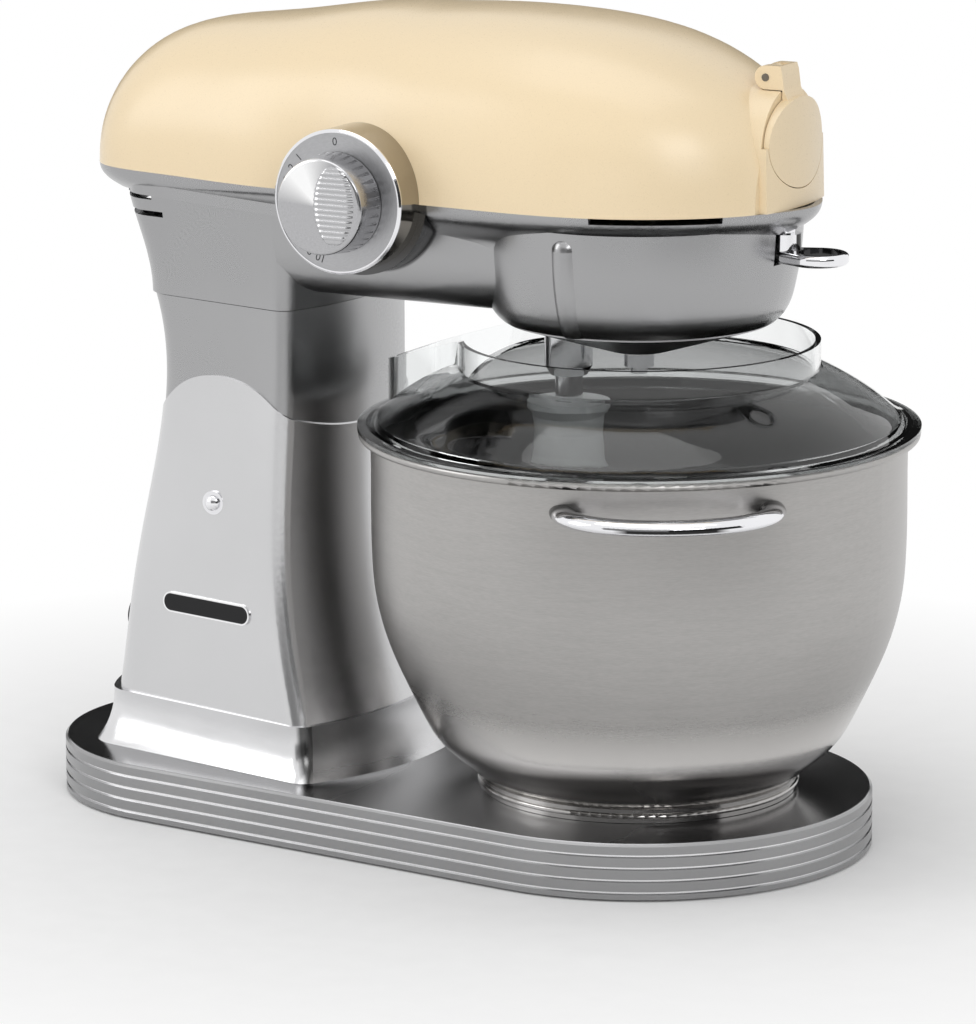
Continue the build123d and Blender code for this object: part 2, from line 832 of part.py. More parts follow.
# Head casing: flared tray, neck over the column, arm and round nose in one hollow shell
tray_outer = head_tray(0, seam_z)
neck_outer = wedge_body(neck_stations)
casing_outer = tray_outer + neck_outer + arm_body(0) + nose_body(0, 0)
rib_path = Spline(*[(0, rib_radius - reach, height) for reach, height in rib_crest])
rib_top = rib_path @ 1
nose_rib = sweep(Plane(rib_path @ 0, z_dir=rib_path % 0) * Circle(rib_radius), path=rib_path)
nose_rib += at(Sphere(rib_radius), rib_top.X, rib_top.Y, rib_top.Z)
nose_rib &= block(-across, across, -across, across, nose_profile[0][1], seam_z)
casing_outer += nose_rib + mirror(nose_rib, about=Plane.XZ)
neck_hole = [at_height(neck_stations[0], neck_stations[0][0] - overrun)] + list(neck_stations[1:])
carrier_opening = carrier_radius + part_gap
casing_inner = head_tray(casing_wall, seam_z + overrun) + wedge_body(neck_hole, -casing_wall)
casing_inner += arm_body(casing_wall) + nose_body(casing_wall, carrier_opening)
ledge_z = plate_z - bearing_ledge_height
ledge = upright(plate_radius + casing_wall, ledge_z, plate_z)
ledge -= upright(ring_outer_radius + bearing_ledge_gap, ledge_z, plate_z)
bracket_ledge_z = bracket_z - bracket_ledge_height
ledge_outer = head_outline(casing_wall - overrun, bracket_ledge_z)
ledge_inner = head_outline(casing_wall - overrun + bracket_ledge_width, bracket_ledge_z)
bracket_ledge = extrude(ledge_outer - ledge_inner, bracket_ledge_height, dir=(0, 0, 1))
bracket_ledge &= block(*bracket_ledge_ends, -across, across, bracket_ledge_z, bracket_z)
niche_radius = lever_post_radius + lever_niche_gap
niche_bottom_z = plate_z + plate_height + part_gap
niche_filler = upright(niche_radius + lever_niche_wall, niche_bottom_z, seam_z - overrun, lever_x, 0)
head_casing = casing_outer - casing_inner
head_casing += casing_outer & (ledge + bracket_ledge + niche_filler)
head_casing -= upright(niche_radius, lever_z - 2 * part_gap, lever_post_top_z + part_gap, lever_x, 0)
head_casing -= upright(lever_stem_radius + running_gap, lever_z, lever_stem_top_z + part_gap, lever_x, 0)
hinge_reach = hinge_z - column_top_z - part_gap / 2
rear_relief = block(-across, hinge_x, -across, across, column_top_z - overrun, hinge_z)
rear_relief -= along_y(hinge_reach, -across, across, hinge_x, hinge_z)
head_casing -= rear_relief
knuckle_half = hinge_ear_inner - part_gap
web_bottom_z = hinge_z - hinge_web_half
web_top_z = hinge_z + hinge_web_half
knuckle = along_y(hinge_eye_radius, -knuckle_half, knuckle_half, hinge_x, hinge_z)
knuckle += block(hinge_web_rear_x, hinge_x, -knuckle_half, knuckle_half, web_bottom_z, web_top_z)
knuckle -= along_y(hinge_pin_radius + running_gap, -across, across, hinge_x, hinge_z)
head_casing += knuckle
for slit_z, slit_x in rear_slits:
    slit_half = rear_slit_height / 2
    head_casing -= block(-across, slit_x, -across, across, slit_z - slit_half, slit_z + slit_half)
slot_bottom = seam_z - nose_slot_height
slot_ring = head_outline(-overrun, slot_bottom) - head_outline(nose_slot_depth, slot_bottom)
slot_ring = extrude(slot_ring, nose_slot_height, dir=(0, 0, 1))
for side in (-1, 1):
    corners = [(0, 0)]
    for turn in (nose_slot_start, nose_slot_end):
        angle = math.radians(side * turn)
        corners.append((across * math.cos(angle), across * math.sin(angle)))
    head_casing -= slot_ring & slab(corners, slot_bottom - overrun, seam_z + overrun)
dial_hole = along_y(dial_collar_radius, -across, dial_back_y, dial_x, dial_z)
head_casing -= dial_hole
dial_boss = along_y(dial_boss_radius, dial_boss_y, dial_back_y, dial_x, dial_z) - dial_hole
head_casing += dial_boss & block(-across, across, -across, across, 0, seam_z)

# Head cover: arched sections from the rear to the front, and the front hub block


def cover_section(station, wall):
    x, half_width, top = station
    half_width -= wall
    rise = top - wall - seam_z
    arch = []
    for step in range(cover_steps + 1):
        angle = math.pi * step / cover_steps
        out = abs(math.cos(angle)) ** (2 / cover_squareness)
        up = math.sin(angle) ** (2 / cover_squareness) if 0 < step < cover_steps else 0.0
        arch.append((x, half_width * math.copysign(out, math.cos(angle)), seam_z + rise * up))
    return make_face([Spline(*arch), Line(arch[-1], arch[0])])


def cover_body(wall):
    stations = list(cover_stations)
    if wall:
        first = stations[0]
        stations[0] = (first[0] + wall, first[1], first[2])
        last = stations[-1]
        stations[-1] = (last[0] - wall, last[1], last[2])
    return loft([cover_section(station, wall) for station in stations])


hub_rise = hub_arch_z - seam_z
hub_plan = Rectangle(2 * hub_half_width, hub_rise, align=(Align.CENTER, Align.MIN))
hub_plan = hub_plan + Pos(0, hub_rise) * Circle(hub_half_width)
hub_plan = hub_plan - Rectangle(across, across, align=(Align.CENTER, Align.MAX))
facing_x = Plane(origin=(hub_root_x, 0, seam_z), x_dir=(0, 1, 0), z_dir=(1, 0, 0))
hub_block = extrude(facing_x * hub_plan, across)
lean_drum = Cylinder(hub_front_round, across)
hub_block &= Pos(hub_front_x - hub_front_round, 0, seam_z) * Rot(0, -hub_lean, 0) * lean_drum
cover_solid = cover_body(0) + hub_block
head_cover = cover_solid - cover_body(cover_wall)
facing_hub = Plane(origin=(hub_face_x, 0, hub_cover_z), x_dir=(0, 1, 0), z_dir=(1, 0, 0))
recess_face = facing_hub * Ellipse(hub_cover_half_width + part_gap, hub_cover_half_height + part_gap)
recess = extrude(recess_face, across)
recess += block(hub_face_x, across, -across, across, hub_cover_z, across * 2)
head_cover -= recess
socket_hole = along_x(hub_socket_radius, hub_root_x, across, 0, hub_cover_z)
head_cover -= socket_hole
knuckle_room = hub_knuckle_half + part_gap
head_cover -= along_y(hub_knuckle_radius + part_gap, -knuckle_room, knuckle_room, hub_pin_x, hub_pin_z)
knuckle_floor_z = hub_pin_z - hub_knuckle_radius - 2 * part_gap
head_cover -= block(hub_pin_x, across, -knuckle_room, knuckle_room, knuckle_floor_z, across * 2)
ear_rear_x = hub_pin_x - hub_ear_radius
ear_front_x = hub_pin_x + hub_ear_radius
ear = along_y(hub_ear_radius, -hub_ear_half, hub_ear_half, hub_pin_x, hub_pin_z)
ear += block(ear_rear_x, ear_front_x, -hub_ear_half, hub_ear_half, hub_pin_z - hub_ear_root, hub_pin_z)
head_cover += ear - cover_body(cover_wall) - socket_hole
head_cover -= along_y(hub_pin_radius, -hub_half_width, hub_half_width, hub_pin_x, hub_pin_z)
head_cover -= dial_hole

# Hub cover: oval flap with a forked knuckle on a cross pin
flap_face = facing_hub * Ellipse(hub_cover_half_width, hub_cover_half_height)
flap_prism = extrude(Pos(part_gap, 0, 0) * flap_face, across)
hub_cover = hub_block & flap_prism
lug_rear_x = hub_face_x + part_gap
lug_outline = [
    (hub_pin_x, hub_pin_z + hub_knuckle_radius),
    (hub_pin_x + hub_lug_top, hub_pin_z + hub_knuckle_radius),
    (hub_pin_x + hub_lug_front - overrun, hub_pin_z + hub_knuckle_radius / 2),
    (hub_pin_x + hub_lug_front, hub_pin_z - hub_knuckle_radius),
    (hub_pin_x + hub_lug_foot, hub_pin_z - hub_lug_drop),
    (lug_rear_x, hub_pin_z - hub_lug_drop),
    (lug_rear_x, hub_pin_z - hub_knuckle_radius),
    (hub_pin_x, hub_pin_z - hub_knuckle_radius),
]
hub_lug = side_slab(lug_outline, -hub_knuckle_half, hub_knuckle_half)
hub_lug += along_y(hub_knuckle_radius, -hub_knuckle_half, hub_knuckle_half, hub_pin_x, hub_pin_z)
fork_half = hub_ear_half + part_gap
hub_lug -= block(-across, hub_pin_x + hub_fork_depth, -fork_half, fork_half, 0, across * 2)
hub_cover += hub_lug
hub_cover -= along_y(hub_pin_radius + running_gap, -hub_half_width, hub_half_width, hub_pin_x, hub_pin_z)
hub_cover_pin = along_y(hub_pin_radius, -knuckle_room, knuckle_room, hub_pin_x, hub_pin_z)
hub_socket = along_x(hub_socket_radius, hub_socket_rear_x, hub_face_x, 0, hub_cover_z)
hub_socket -= along_x(hub_socket_bore, hub_face_x - hub_socket_depth, across, 0, hub_cover_z)

# Clamp lever: finger ring on a post that turns in the casing
post_end = lever_post_radius + overrun
lever_reach = lever_ring_x - lever_x
lever_lean = math.asin((lever_ring_radius - post_end) / lever_reach)
front_at = (lever_ring_x - lever_ring_radius * math.sin(lever_lean), lever_ring_radius * math.cos(lever_lean))
rear_at = (lever_x - post_end * math.sin(lever_lean), post_end * math.cos(lever_lean))
lever_plan = make_face(
    [
        ThreePointArc((front_at[0], -front_at[1]), (lever_ring_x + lever_ring_radius, 0), front_at),
        Line(front_at, rear_at),
        ThreePointArc(rear_at, (lever_x - post_end, 0), (rear_at[0], -rear_at[1])),
        Line((rear_at[0], -rear_at[1]), (front_at[0], -front_at[1])),
    ]
)
clamp_lever = extrude(Pos(0, 0, lever_z) * lever_plan, lever_thickness, dir=(0, 0, 1))
clamp_lever = fillet(clamp_lever.edges().filter_by(Axis.Z, reverse=True), lever_edge_round)
clamp_lever -= upright(lever_ring_hole, 0, across, lever_ring_x + overrun, 0)
lever_middle_z = lever_z + lever_thickness / 2
clamp_lever += upright(lever_post_radius, lever_middle_z, lever_post_top_z, lever_x, 0)
clamp_lever += upright(lever_stem_radius, lever_middle_z, lever_stem_top_z, lever_x, 0)

# Speed dial: chrome collar let into the head's side, plate, knob and switch
dial_collar = along_y(dial_collar_radius, dial_front_y, dial_back_y, dial_x, dial_z)
dial_collar = chamfer(dial_collar.faces().sort_by(Axis.Y)[0].edges(), dial_edge)
plate_back_y = dial_front_y + dial_plate_thickness + dial_plate_recess
dial_collar -= along_y(dial_plate_radius, -across, plate_back_y, dial_x, dial_z)
shaft_hole = along_y(knob_shaft_radius + running_gap, -across, 0, dial_x, dial_z)
dial_collar -= shaft_hole
dial_plate = along_y(dial_plate_radius, plate_back_y - dial_plate_thickness, plate_back_y, dial_x, dial_z)
dial_plate -= shaft_hole
knob_back_y = plate_back_y - dial_plate_thickness - part_gap
knob_front_y = knob_back_y - knob_height
knob = Cone(knob_base_radius, knob_face_radius, knob_height, align=(Align.CENTER, Align.CENTER, Align.MIN))
speed_knob = Pos(dial_x, knob_back_y, dial_z) * Rot(90, 0, 0) * knob
speed_knob = fillet(speed_knob.faces().sort_by(Axis.Y)[0].edges(), knob_edge)
flutes = Part()
flute_front_y = knob_front_y + knob_flute_ends[0]
flute_back_y = knob_back_y - knob_flute_ends[1]
for flute in range(knob_flutes):
    angle = 2 * math.pi * flute / knob_flutes
    flute_x = dial_x + knob_base_radius * math.cos(angle)
    flute_z = dial_z + knob_base_radius * math.sin(angle)
    flutes += along_y(knob_flute_radius, flute_front_y, flute_back_y, flute_x, flute_z)
speed_knob -= flutes
shaft_front_y = knob_front_y + knob_face_thickness
speed_knob -= along_y(knob_shaft_radius, shaft_front_y, 0, dial_x, dial_z)
switch_back_y = dial_back_y + switch_depth
shaft_back_y = switch_back_y - switch_floor - part_gap
knob_shaft = along_y(knob_shaft_radius, shaft_front_y, shaft_back_y, dial_x, dial_z)
speed_switch = along_y(switch_radius, dial_back_y, switch_back_y, dial_x, dial_z)
speed_switch -= along_y(knob_shaft_radius + running_gap, -across, switch_back_y - switch_floor, dial_x, dial_z)
control_board = block(
    dial_x - board_half_length,
    dial_x + board_half_length,
    switch_back_y,
    switch_back_y + board_thickness,
    dial_z - board_below,
    dial_z + board_above,
)

# Planetary drive in the nose


def gear_outline(teeth, outward, inward, thicken):
    # Involute tooth outline; thicken widens each tooth along the pitch circle
    pitch = gear_module * teeth / 2
    pressure = math.radians(gear_pressure_angle)
    base = pitch * math.cos(pressure)
    half = math.pi / (2 * teeth) + thicken / (2 * pitch) + math.tan(pressure) - pressure
    inner = pitch - inward
    outer = pitch + outward
    flank_start = max(inner, base)
    flank_step = (outer - flank_start) / gear_flank_steps
    radii = [flank_start + flank_step * step for step in range(gear_flank_steps + 1)]
    points = []
    for tooth in range(teeth):
        middle = 2 * math.pi * tooth / teeth
        flank = []
        for radius in radii:
            roll = math.acos(min(1.0, base / radius))
            flank.append((radius, half - (math.tan(roll) - roll)))
        if inner < base:
            flank = [(inner, half)] + flank
        for radius, spread in flank:
            points.append((radius * math.cos(middle - spread), radius * math.sin(middle - spread)))
        for radius, spread in reversed(flank):
            points.append((radius * math.cos(middle + spread), radius * math.sin(middle + spread)))
    return points


gear_top_z = gear_bottom_z + gear_height
ring_gear = upright(ring_outer_radius, gear_bottom_z, plate_z)
tip = gear_module * gear_tip
root = gear_module * gear_root
ring_gear -= slab(gear_outline(ring_teeth, root, tip, gear_backlash), gear_bottom_z, plate_z)
pinion_points = gear_outline(pinion_teeth, tip, root, -gear_backlash)
planet_pinion = at(slab(pinion_points, gear_bottom_z, gear_top_z), -tool_offset, 0, 0)
planet_pinion -= upright(shaft_radius, gear_bottom_z, gear_top_z, -tool_offset, 0)

planet_carrier = turned(
    [
        (0, carrier_top_z),
        (carrier_radius, carrier_top_z),
        (carrier_radius, carrier_rim_z),
        (carrier_tip_radius, carrier_tip_z),
        (0, carrier_tip_z),
    ]
)
planet_carrier -= upright(shaft_radius + running_gap, 0, across, -tool_offset, 0)
planet_carrier -= upright(socket_radius + part_gap, 0, socket_top_z + part_gap, -tool_offset, 0)
hub_nut = upright(nut_radius, nut_bottom_z + nut_tip_length, carrier_tip_z)
hub_nut += upright(nut_radius * nut_tip_share, nut_bottom_z, carrier_tip_z)
pulley_top_z = pulley_bottom_z + pulley_height
main_shaft = upright(main_shaft_radius, carrier_top_z, pulley_top_z + shaft_end)
plate_top_z = plate_z + plate_height
bearing_plate = upright(plate_radius, plate_z, plate_top_z) - upright(bearing_radius, plate_z, plate_top_z)
main_bearing = upright(bearing_radius, plate_z - bearing_stand, plate_top_z + bearing_stand)
main_bearing -= upright(main_shaft_radius + running_gap, 0, across)
head_screws = Part()
for turn in range(plate_screw_count):
    angle = 2 * math.pi * (turn + 0.5) / plate_screw_count
    spot = (plate_screw_radius * math.cos(angle), plate_screw_radius * math.sin(angle))
    head_screws += upright(screw_head_radius, plate_top_z, plate_top_z + plate_screw_height, *spot)
driven_pulley = upright(driven_pulley_radius, pulley_bottom_z, pulley_top_z)
driven_pulley -= upright(main_shaft_radius, pulley_bottom_z, pulley_top_z)


def belt_loop(grow, bottom, top):
    # Tangent loop round both pulleys
    small = motor_pulley_radius + grow
    large = driven_pulley_radius + grow
    lean = math.asin((large - small) / -motor_x)
    small_at = (motor_x - small * math.sin(lean), small * math.cos(lean))
    large_at = (-large * math.sin(lean), large * math.cos(lean))
    loop = make_face(
        [
            ThreePointArc((large_at[0], -large_at[1]), (large, 0), large_at),
            Line(large_at, small_at),
            ThreePointArc(small_at, (motor_x - small, 0), (small_at[0], -small_at[1])),
            Line((small_at[0], -small_at[1]), (large_at[0], -large_at[1])),
        ]
    )
    return extrude(Pos(0, 0, bottom) * loop, top - bottom, dir=(0, 0, 1))


belt_bottom_z = pulley_bottom_z + (pulley_height - belt_height) / 2
belt_top_z = belt_bottom_z + belt_height
drive_belt = belt_loop(running_gap + belt_thickness, belt_bottom_z, belt_top_z)
drive_belt -= belt_loop(running_gap, belt_bottom_z, belt_top_z)

# Beater shaft, tool hub and dough hook
beater_shaft = upright(shaft_radius, shaft_bottom_z, gear_top_z + overrun, -tool_offset, 0)
beater_shaft += upright(socket_radius, socket_cone_z, socket_top_z, -tool_offset, 0)
cone_height = socket_cone_z - socket_bottom_z
socket_cone = Cone(socket_tip_radius, socket_radius, cone_height, align=(Align.CENTER, Align.CENTER, Align.MIN))
beater_shaft += at(socket_cone, -tool_offset, 0, socket_bottom_z)
cross_pin_z = tool_hub_top_z - cross_pin_drop
pin_hole = Pos(-tool_offset, 0, cross_pin_z) * Rot(90, 0, 0) * Cylinder(cross_pin_radius, 2 * cross_pin_half)
beater_shaft -= pin_hole
shaft_pin = pin_hole
hub_side = [(radius, tool_hub_top_z - drop) for drop, radius in tool_hub_shape]
tool_hub = turned([(0, tool_hub_top_z)] + hub_side + [(0, hub_side[-1][1])])
tool_hub = at(tool_hub, -tool_offset, 0, 0) - pin_hole
tool_hub -= upright(shaft_radius, shaft_bottom_z, across, -tool_offset, 0)
tool_hub -= upright(hook_rod_radius, 0, hook_top_z, -tool_offset, 0)
hook_line = [(x - tool_offset, y, z) for x, y, z in hook_points]
hook_shank = Line((-tool_offset, 0, hook_top_z), hook_line[0])
hook_path = Wire([hook_shank, Spline(*hook_line, tangents=[(0, 0, -1), hook_end_lean])])
hook_end = hook_path @ 1
dough_hook = sweep(Pos(-tool_offset, 0, hook_top_z) * Circle(hook_rod_radius), path=hook_path)
dough_hook += at(Sphere(hook_rod_radius), hook_end.X, hook_end.Y, hook_end.Z)

# Motor above the column
bracket_top_z = bracket_z + bracket_thickness
motor_bracket = extrude(head_outline(bracket_inset, bracket_z), bracket_thickness, dir=(0, 0, 1))
motor_bracket &= block(*bracket_ends, -across, across, bracket_z, bracket_top_z)
motor_bracket -= upright(motor_shaft_radius + bracket_hole_gap, bracket_z, bracket_top_z, motor_x, 0)
board_room_y = switch_back_y + board_thickness + overrun
motor_bracket -= along_y(dial_boss_radius + overrun, -across, board_room_y, dial_x, dial_z)
can_top_z = bracket_top_z + motor_can_height
motor_can = upright(motor_can_radius, bracket_top_z, can_top_z, motor_x, 0)
can_floor_z = bracket_top_z + motor_can_wall
can_roof_z = can_top_z - motor_can_wall
motor_can -= upright(motor_can_radius - motor_can_wall, can_floor_z, can_roof_z, motor_x, 0)
motor_can -= upright(motor_shaft_radius + running_gap, bracket_top_z, can_top_z, motor_x, 0)
motor_shaft = upright(motor_shaft_radius, pulley_bottom_z - overrun, can_top_z + motor_shaft_end, motor_x, 0)
shaft_room = upright(motor_shaft_radius, 0, across * 2, motor_x, 0)
motor_armature = upright(armature_radius, bracket_top_z + armature_gap, can_top_z - armature_gap, motor_x, 0)
motor_armature -= shaft_room
motor_pulley = upright(motor_pulley_radius, pulley_bottom_z, pulley_top_z, motor_x, 0) - shaft_room
fan_bottom_z = can_top_z + fan_gap
fan_top_z = fan_bottom_z + fan_height
cooling_fan = upright(fan_hub_radius, fan_bottom_z, fan_top_z, motor_x, 0)
for blade in range(fan_blades):
    vane = block(fan_hub_radius / 2, fan_radius, -fan_blade_half, fan_blade_half, fan_bottom_z, fan_top_z)
    cooling_fan += Pos(motor_x, 0, 0) * Rot(0, 0, 360 * blade / fan_blades) * vane
cooling_fan -= shaft_room

os.makedirs("parts", exist_ok=True)
nodes = {
    "base_casting": base_casting,
    "bottom_plate": bottom_plate,
    "rubber_feet": rubber_feet,
    "base_screws": base_screws,
    "bowl_dock": bowl_dock,
    "bowl": bowl,
    "bowl_floor": bowl_floor,
    "bowl_handle": bowl_handle,
    "splash_lid": splash_lid,
    "plinth_skirt": plinth_skirt,
    "column_shell": column_shell,
    "column_neck": column_neck,
    "button_sleeve": button_sleeve,
    "release_button": release_button,
    "release_spring": release_spring,
    "badge_plate": badge_plate,
    "cord_gland": cord_gland,
    "hinge_bracket": hinge_bracket,
    "hinge_pin": hinge_pin,
    "head_casing": head_casing,
    "head_cover": head_cover,
    "hub_cover": hub_cover,
    "hub_cover_pin": hub_cover_pin,
    "hub_socket": hub_socket,
    "clamp_lever": clamp_lever,
    "dial_collar": dial_collar,
    "dial_plate": dial_plate,
    "speed_knob": speed_knob,
    "knob_shaft": knob_shaft,
    "speed_switch": speed_switch,
    "control_board": control_board,
    "ring_gear": ring_gear,
    "planet_pinion": planet_pinion,
    "planet_carrier": planet_carrier,
    "hub_nut": hub_nut,
    "main_shaft": main_shaft,
    "bearing_plate": bearing_plate,
    "main_bearing": main_bearing,
    "head_screws": head_screws,
    "driven_pulley": driven_pulley,
    "drive_belt": drive_belt,
    "beater_shaft": beater_shaft,
    "shaft_pin": shaft_pin,
    "tool_hub": tool_hub,
    "dough_hook": dough_hook,
    "motor_bracket": motor_bracket,
    "motor_can": motor_can,
    "motor_shaft": motor_shaft,
    "motor_armature": motor_armature,
    "motor_pulley": motor_pulley,
    "cooling_fan": cooling_fan,
}
for name, solid in nodes.items():
    export_step(solid, f"parts/{name}.step")
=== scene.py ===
import math

import bpy
from mathutils import Matrix, Vector
from mathutils.geometry import convex_hull_2d


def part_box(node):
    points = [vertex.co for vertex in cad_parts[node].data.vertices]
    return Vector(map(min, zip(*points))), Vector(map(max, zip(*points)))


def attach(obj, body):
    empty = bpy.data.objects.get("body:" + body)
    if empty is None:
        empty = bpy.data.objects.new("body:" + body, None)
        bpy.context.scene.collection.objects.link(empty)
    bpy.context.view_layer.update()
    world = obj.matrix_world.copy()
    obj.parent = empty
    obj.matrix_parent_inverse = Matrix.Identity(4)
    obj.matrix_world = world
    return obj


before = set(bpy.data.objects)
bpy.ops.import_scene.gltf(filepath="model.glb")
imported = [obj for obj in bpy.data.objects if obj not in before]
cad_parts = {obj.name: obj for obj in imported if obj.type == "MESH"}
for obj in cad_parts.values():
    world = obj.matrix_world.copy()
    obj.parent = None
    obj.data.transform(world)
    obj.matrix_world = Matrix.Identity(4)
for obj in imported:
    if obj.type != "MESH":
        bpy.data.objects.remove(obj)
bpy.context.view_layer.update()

# Base casting: shallow die-cast tray in satin silver enamel, with four bright grooves round its side.
# The floor plate is screwed up into it from below, and the feet are glued to that plate.
# Its top is polished behind the column and at the nose end, and satin between column and bowl, where it is
# also painted lighter as a painted reflection of the column.


class Wire:
    # A shader socket that takes part in sums like a number
    def __init__(self, tree, socket):
        self.tree = tree
        self.socket = socket

    def node(self, kind, settings, sockets, output=0):
        # Adds a node: its settings first, then a value or a link for each socket
        made = self.tree.nodes.new(kind)
        for name, value in settings.items():
            setattr(made, name, value)
        for name, value in sockets.items():
            socket = made.inputs[name]
            if isinstance(value, Wire):
                self.tree.links.new(value.socket, socket)
            elif socket.type == "RGBA":
                socket.default_value = (*value, 1)
            else:
                socket.default_value = value
        return Wire(self.tree, made.outputs[output] if made.outputs else None)

    def maths(self, operation, *values):
        return self.node("ShaderNodeMath", {"operation": operation}, dict(enumerate(values)))

    def __add__(self, other):
        return self.maths("ADD", self, other)

    __radd__ = __add__

    def __sub__(self, other):
        return self.maths("SUBTRACT", self, other)

    def __rsub__(self, other):
        return self.maths("SUBTRACT", other, self)

    def __mul__(self, other):
        return self.maths("MULTIPLY", self, other)

    __rmul__ = __mul__


def start(name):
    # Empty material and its coordinates, which are metres in the object's own frame
    finish = bpy.data.materials.new(name)
    finish.use_nodes = True
    tree = finish.node_tree
    tree.nodes.clear()
    return finish, Wire(tree, None).node("ShaderNodeTexCoord", {}, {}, "Object")


def close(where, sockets):
    # Ends a material with one surface shader
    shader = where.node("ShaderNodeBsdfPrincipled", {}, sockets)
    where.node("ShaderNodeOutputMaterial", {}, {"Surface": shader})


def axis(where, number):
    return where.node("ShaderNodeSeparateXYZ", {}, {0: where}, number)


def stretched(where, factors):
    return where.node("ShaderNodeVectorMath", {"operation": "MULTIPLY"}, {0: where, 1: factors})


def noise(where, scale, detail=3.0):
    return where.node("ShaderNodeTexNoise", {}, {"Vector": where, "Scale": scale, "Detail": detail})


def between(value, low, high, to_low=0.0, to_high=1.0):
    # Straight ramp from one range to another, held at both ends
    return value.node("ShaderNodeMapRange", {}, {0: value, 1: low, 2: high, 3: to_low, 4: to_high})


def varied(grain, low=0.0, high=1.0):
    # Spreads a noise, which lies mostly near its middle, over a range
    return between(grain, 0.3, 0.7, low, high)


def mixed(factor, first, second):
    # Inputs 6 and 7 and output 2 are the colour sockets of a Mix node
    return factor.node("ShaderNodeMix", {"data_type": "RGBA"}, {0: factor, 6: first, 7: second}, 2)


def relief(height, depth, strength):
    return height.node("ShaderNodeBump", {}, {"Strength": strength, "Distance": depth, "Height": height})


def shaded(colour, factor):
    return tuple(channel * factor for channel in colour)


def dress(finish, *names):
    # Puts a finish on CAD nodes, with smooth shading
    for name in names:
        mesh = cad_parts[name].data
        mesh.materials.clear()
        mesh.materials.append(finish)
        mesh.shade_smooth()


silver = (0.42, 0.42, 0.425)
groove_pitch = 0.0053
groove_half = 0.0006
base_top = 0.025
top_skin = 0.0004
column_front = (-0.13, -0.08)
bowl_front = (-0.02, 0.07)
base_finish, where = start("base_enamel")
depth_down = base_top - axis(where, 2)
to_groove = where.maths("PINGPONG", depth_down, groove_pitch / 2)
in_groove = where.maths("LESS_THAN", to_groove, groove_half)
in_groove = in_groove * where.maths("GREATER_THAN", depth_down, groove_pitch / 2)
on_top = where.maths("LESS_THAN", depth_down, top_skin)
along = axis(where, 0)
by_bowl_satin_and_painted_light = between(along, *column_front) * between(along, *bowl_front, 1.0, 0.0)
flake = noise(where, 2600.0, detail=1.0)
cloud = noise(where, 12.0)
enamel = mixed(between(cloud + 0.2 * flake, 0.4, 0.8), shaded(silver, 0.8), shaded(silver, 0.9))
# Painted light: the top between column and bowl is painted lighter, a painted reflection of the column.
enamel = mixed(on_top * by_bowl_satin_and_painted_light, enamel, shaded(silver, 1.25))
polish = in_groove * 0.15 + on_top * (0.12 - by_bowl_satin_and_painted_light * 0.2)
close(
    where,
    {
        "Base Color": mixed(in_groove, enamel, (0.9, 0.9, 0.91)),
        "Metallic": 1.0,
        "Roughness": varied(cloud, 0.27, 0.33) - polish,
        "Normal": relief(noise(where, 420.0, detail=1.0), depth=0.00002, strength=0.25),
    },
)
dress(base_finish, "base_casting")


def zinc_plated(name, colour, rough):
    # Rolled sheet with a passivated bloom
    finish, where = start(name)
    bloom = where.node("ShaderNodeTexVoronoi", {}, {"Vector": where, "Scale": 160.0})
    grain = noise(stretched(where, (1.0, 14.0, 1.0)), 260.0, detail=2.0)
    close(
        where,
        {
            "Base Color": mixed(between(bloom, 0.0, 0.9), shaded(colour, 0.88), shaded(colour, 1.08)),
            "Metallic": 1.0,
            "Roughness": between(grain + bloom, 0.3, 1.2, rough - 0.06, rough + 0.08),
            "Normal": relief(grain, depth=0.00003, strength=0.3),
        },
    )
    return finish


dress(zinc_plated("bracket_steel", (0.52, 0.52, 0.52), rough=0.38), "bottom_plate", "base_screws")


def rubbery(name, colour):
    # Moulded rubber: matt, with a fine bloom of dust
    finish, where = start(name)
    dust = noise(where, 90.0)
    pores = noise(where, 1500.0, detail=1.0)
    close(
        where,
        {
            "Base Color": mixed(between(dust, 0.4, 0.8), colour, shaded(colour, 2.0)),
            "Roughness": varied(pores, 0.65, 0.85),
            "Normal": relief(pores, depth=0.00005, strength=0.5),
        },
    )
    return finish


dress(rubbery("black_rubber", (0.02, 0.02, 0.02)), "rubber_feet")

# Bowl dock: cast disc in the base's silver, with tabs that hold the lugs of the bowl's foot ring.
# It is screwed down on the base and hidden by the bowl.
dress(base_finish, "bowl_dock")

# Bowl: stainless sheet spun to shape and brushed as it turned, so the lines run round its axis.
# Its foot ring is brazed on and turns under the dock's tabs.
# The brushing fades out towards the foot, where a painted highlight band lies over a painted dark band, both
# painted reflections. The inside is painted darker, as painted shade.


def facing(where):
    # Direction that the surface faces, in the object's own frame
    return where.node("ShaderNodeTexCoord", {}, {}, "Normal")


def reach(across, up):
    return across.maths("SQRT", across * across + up * up)


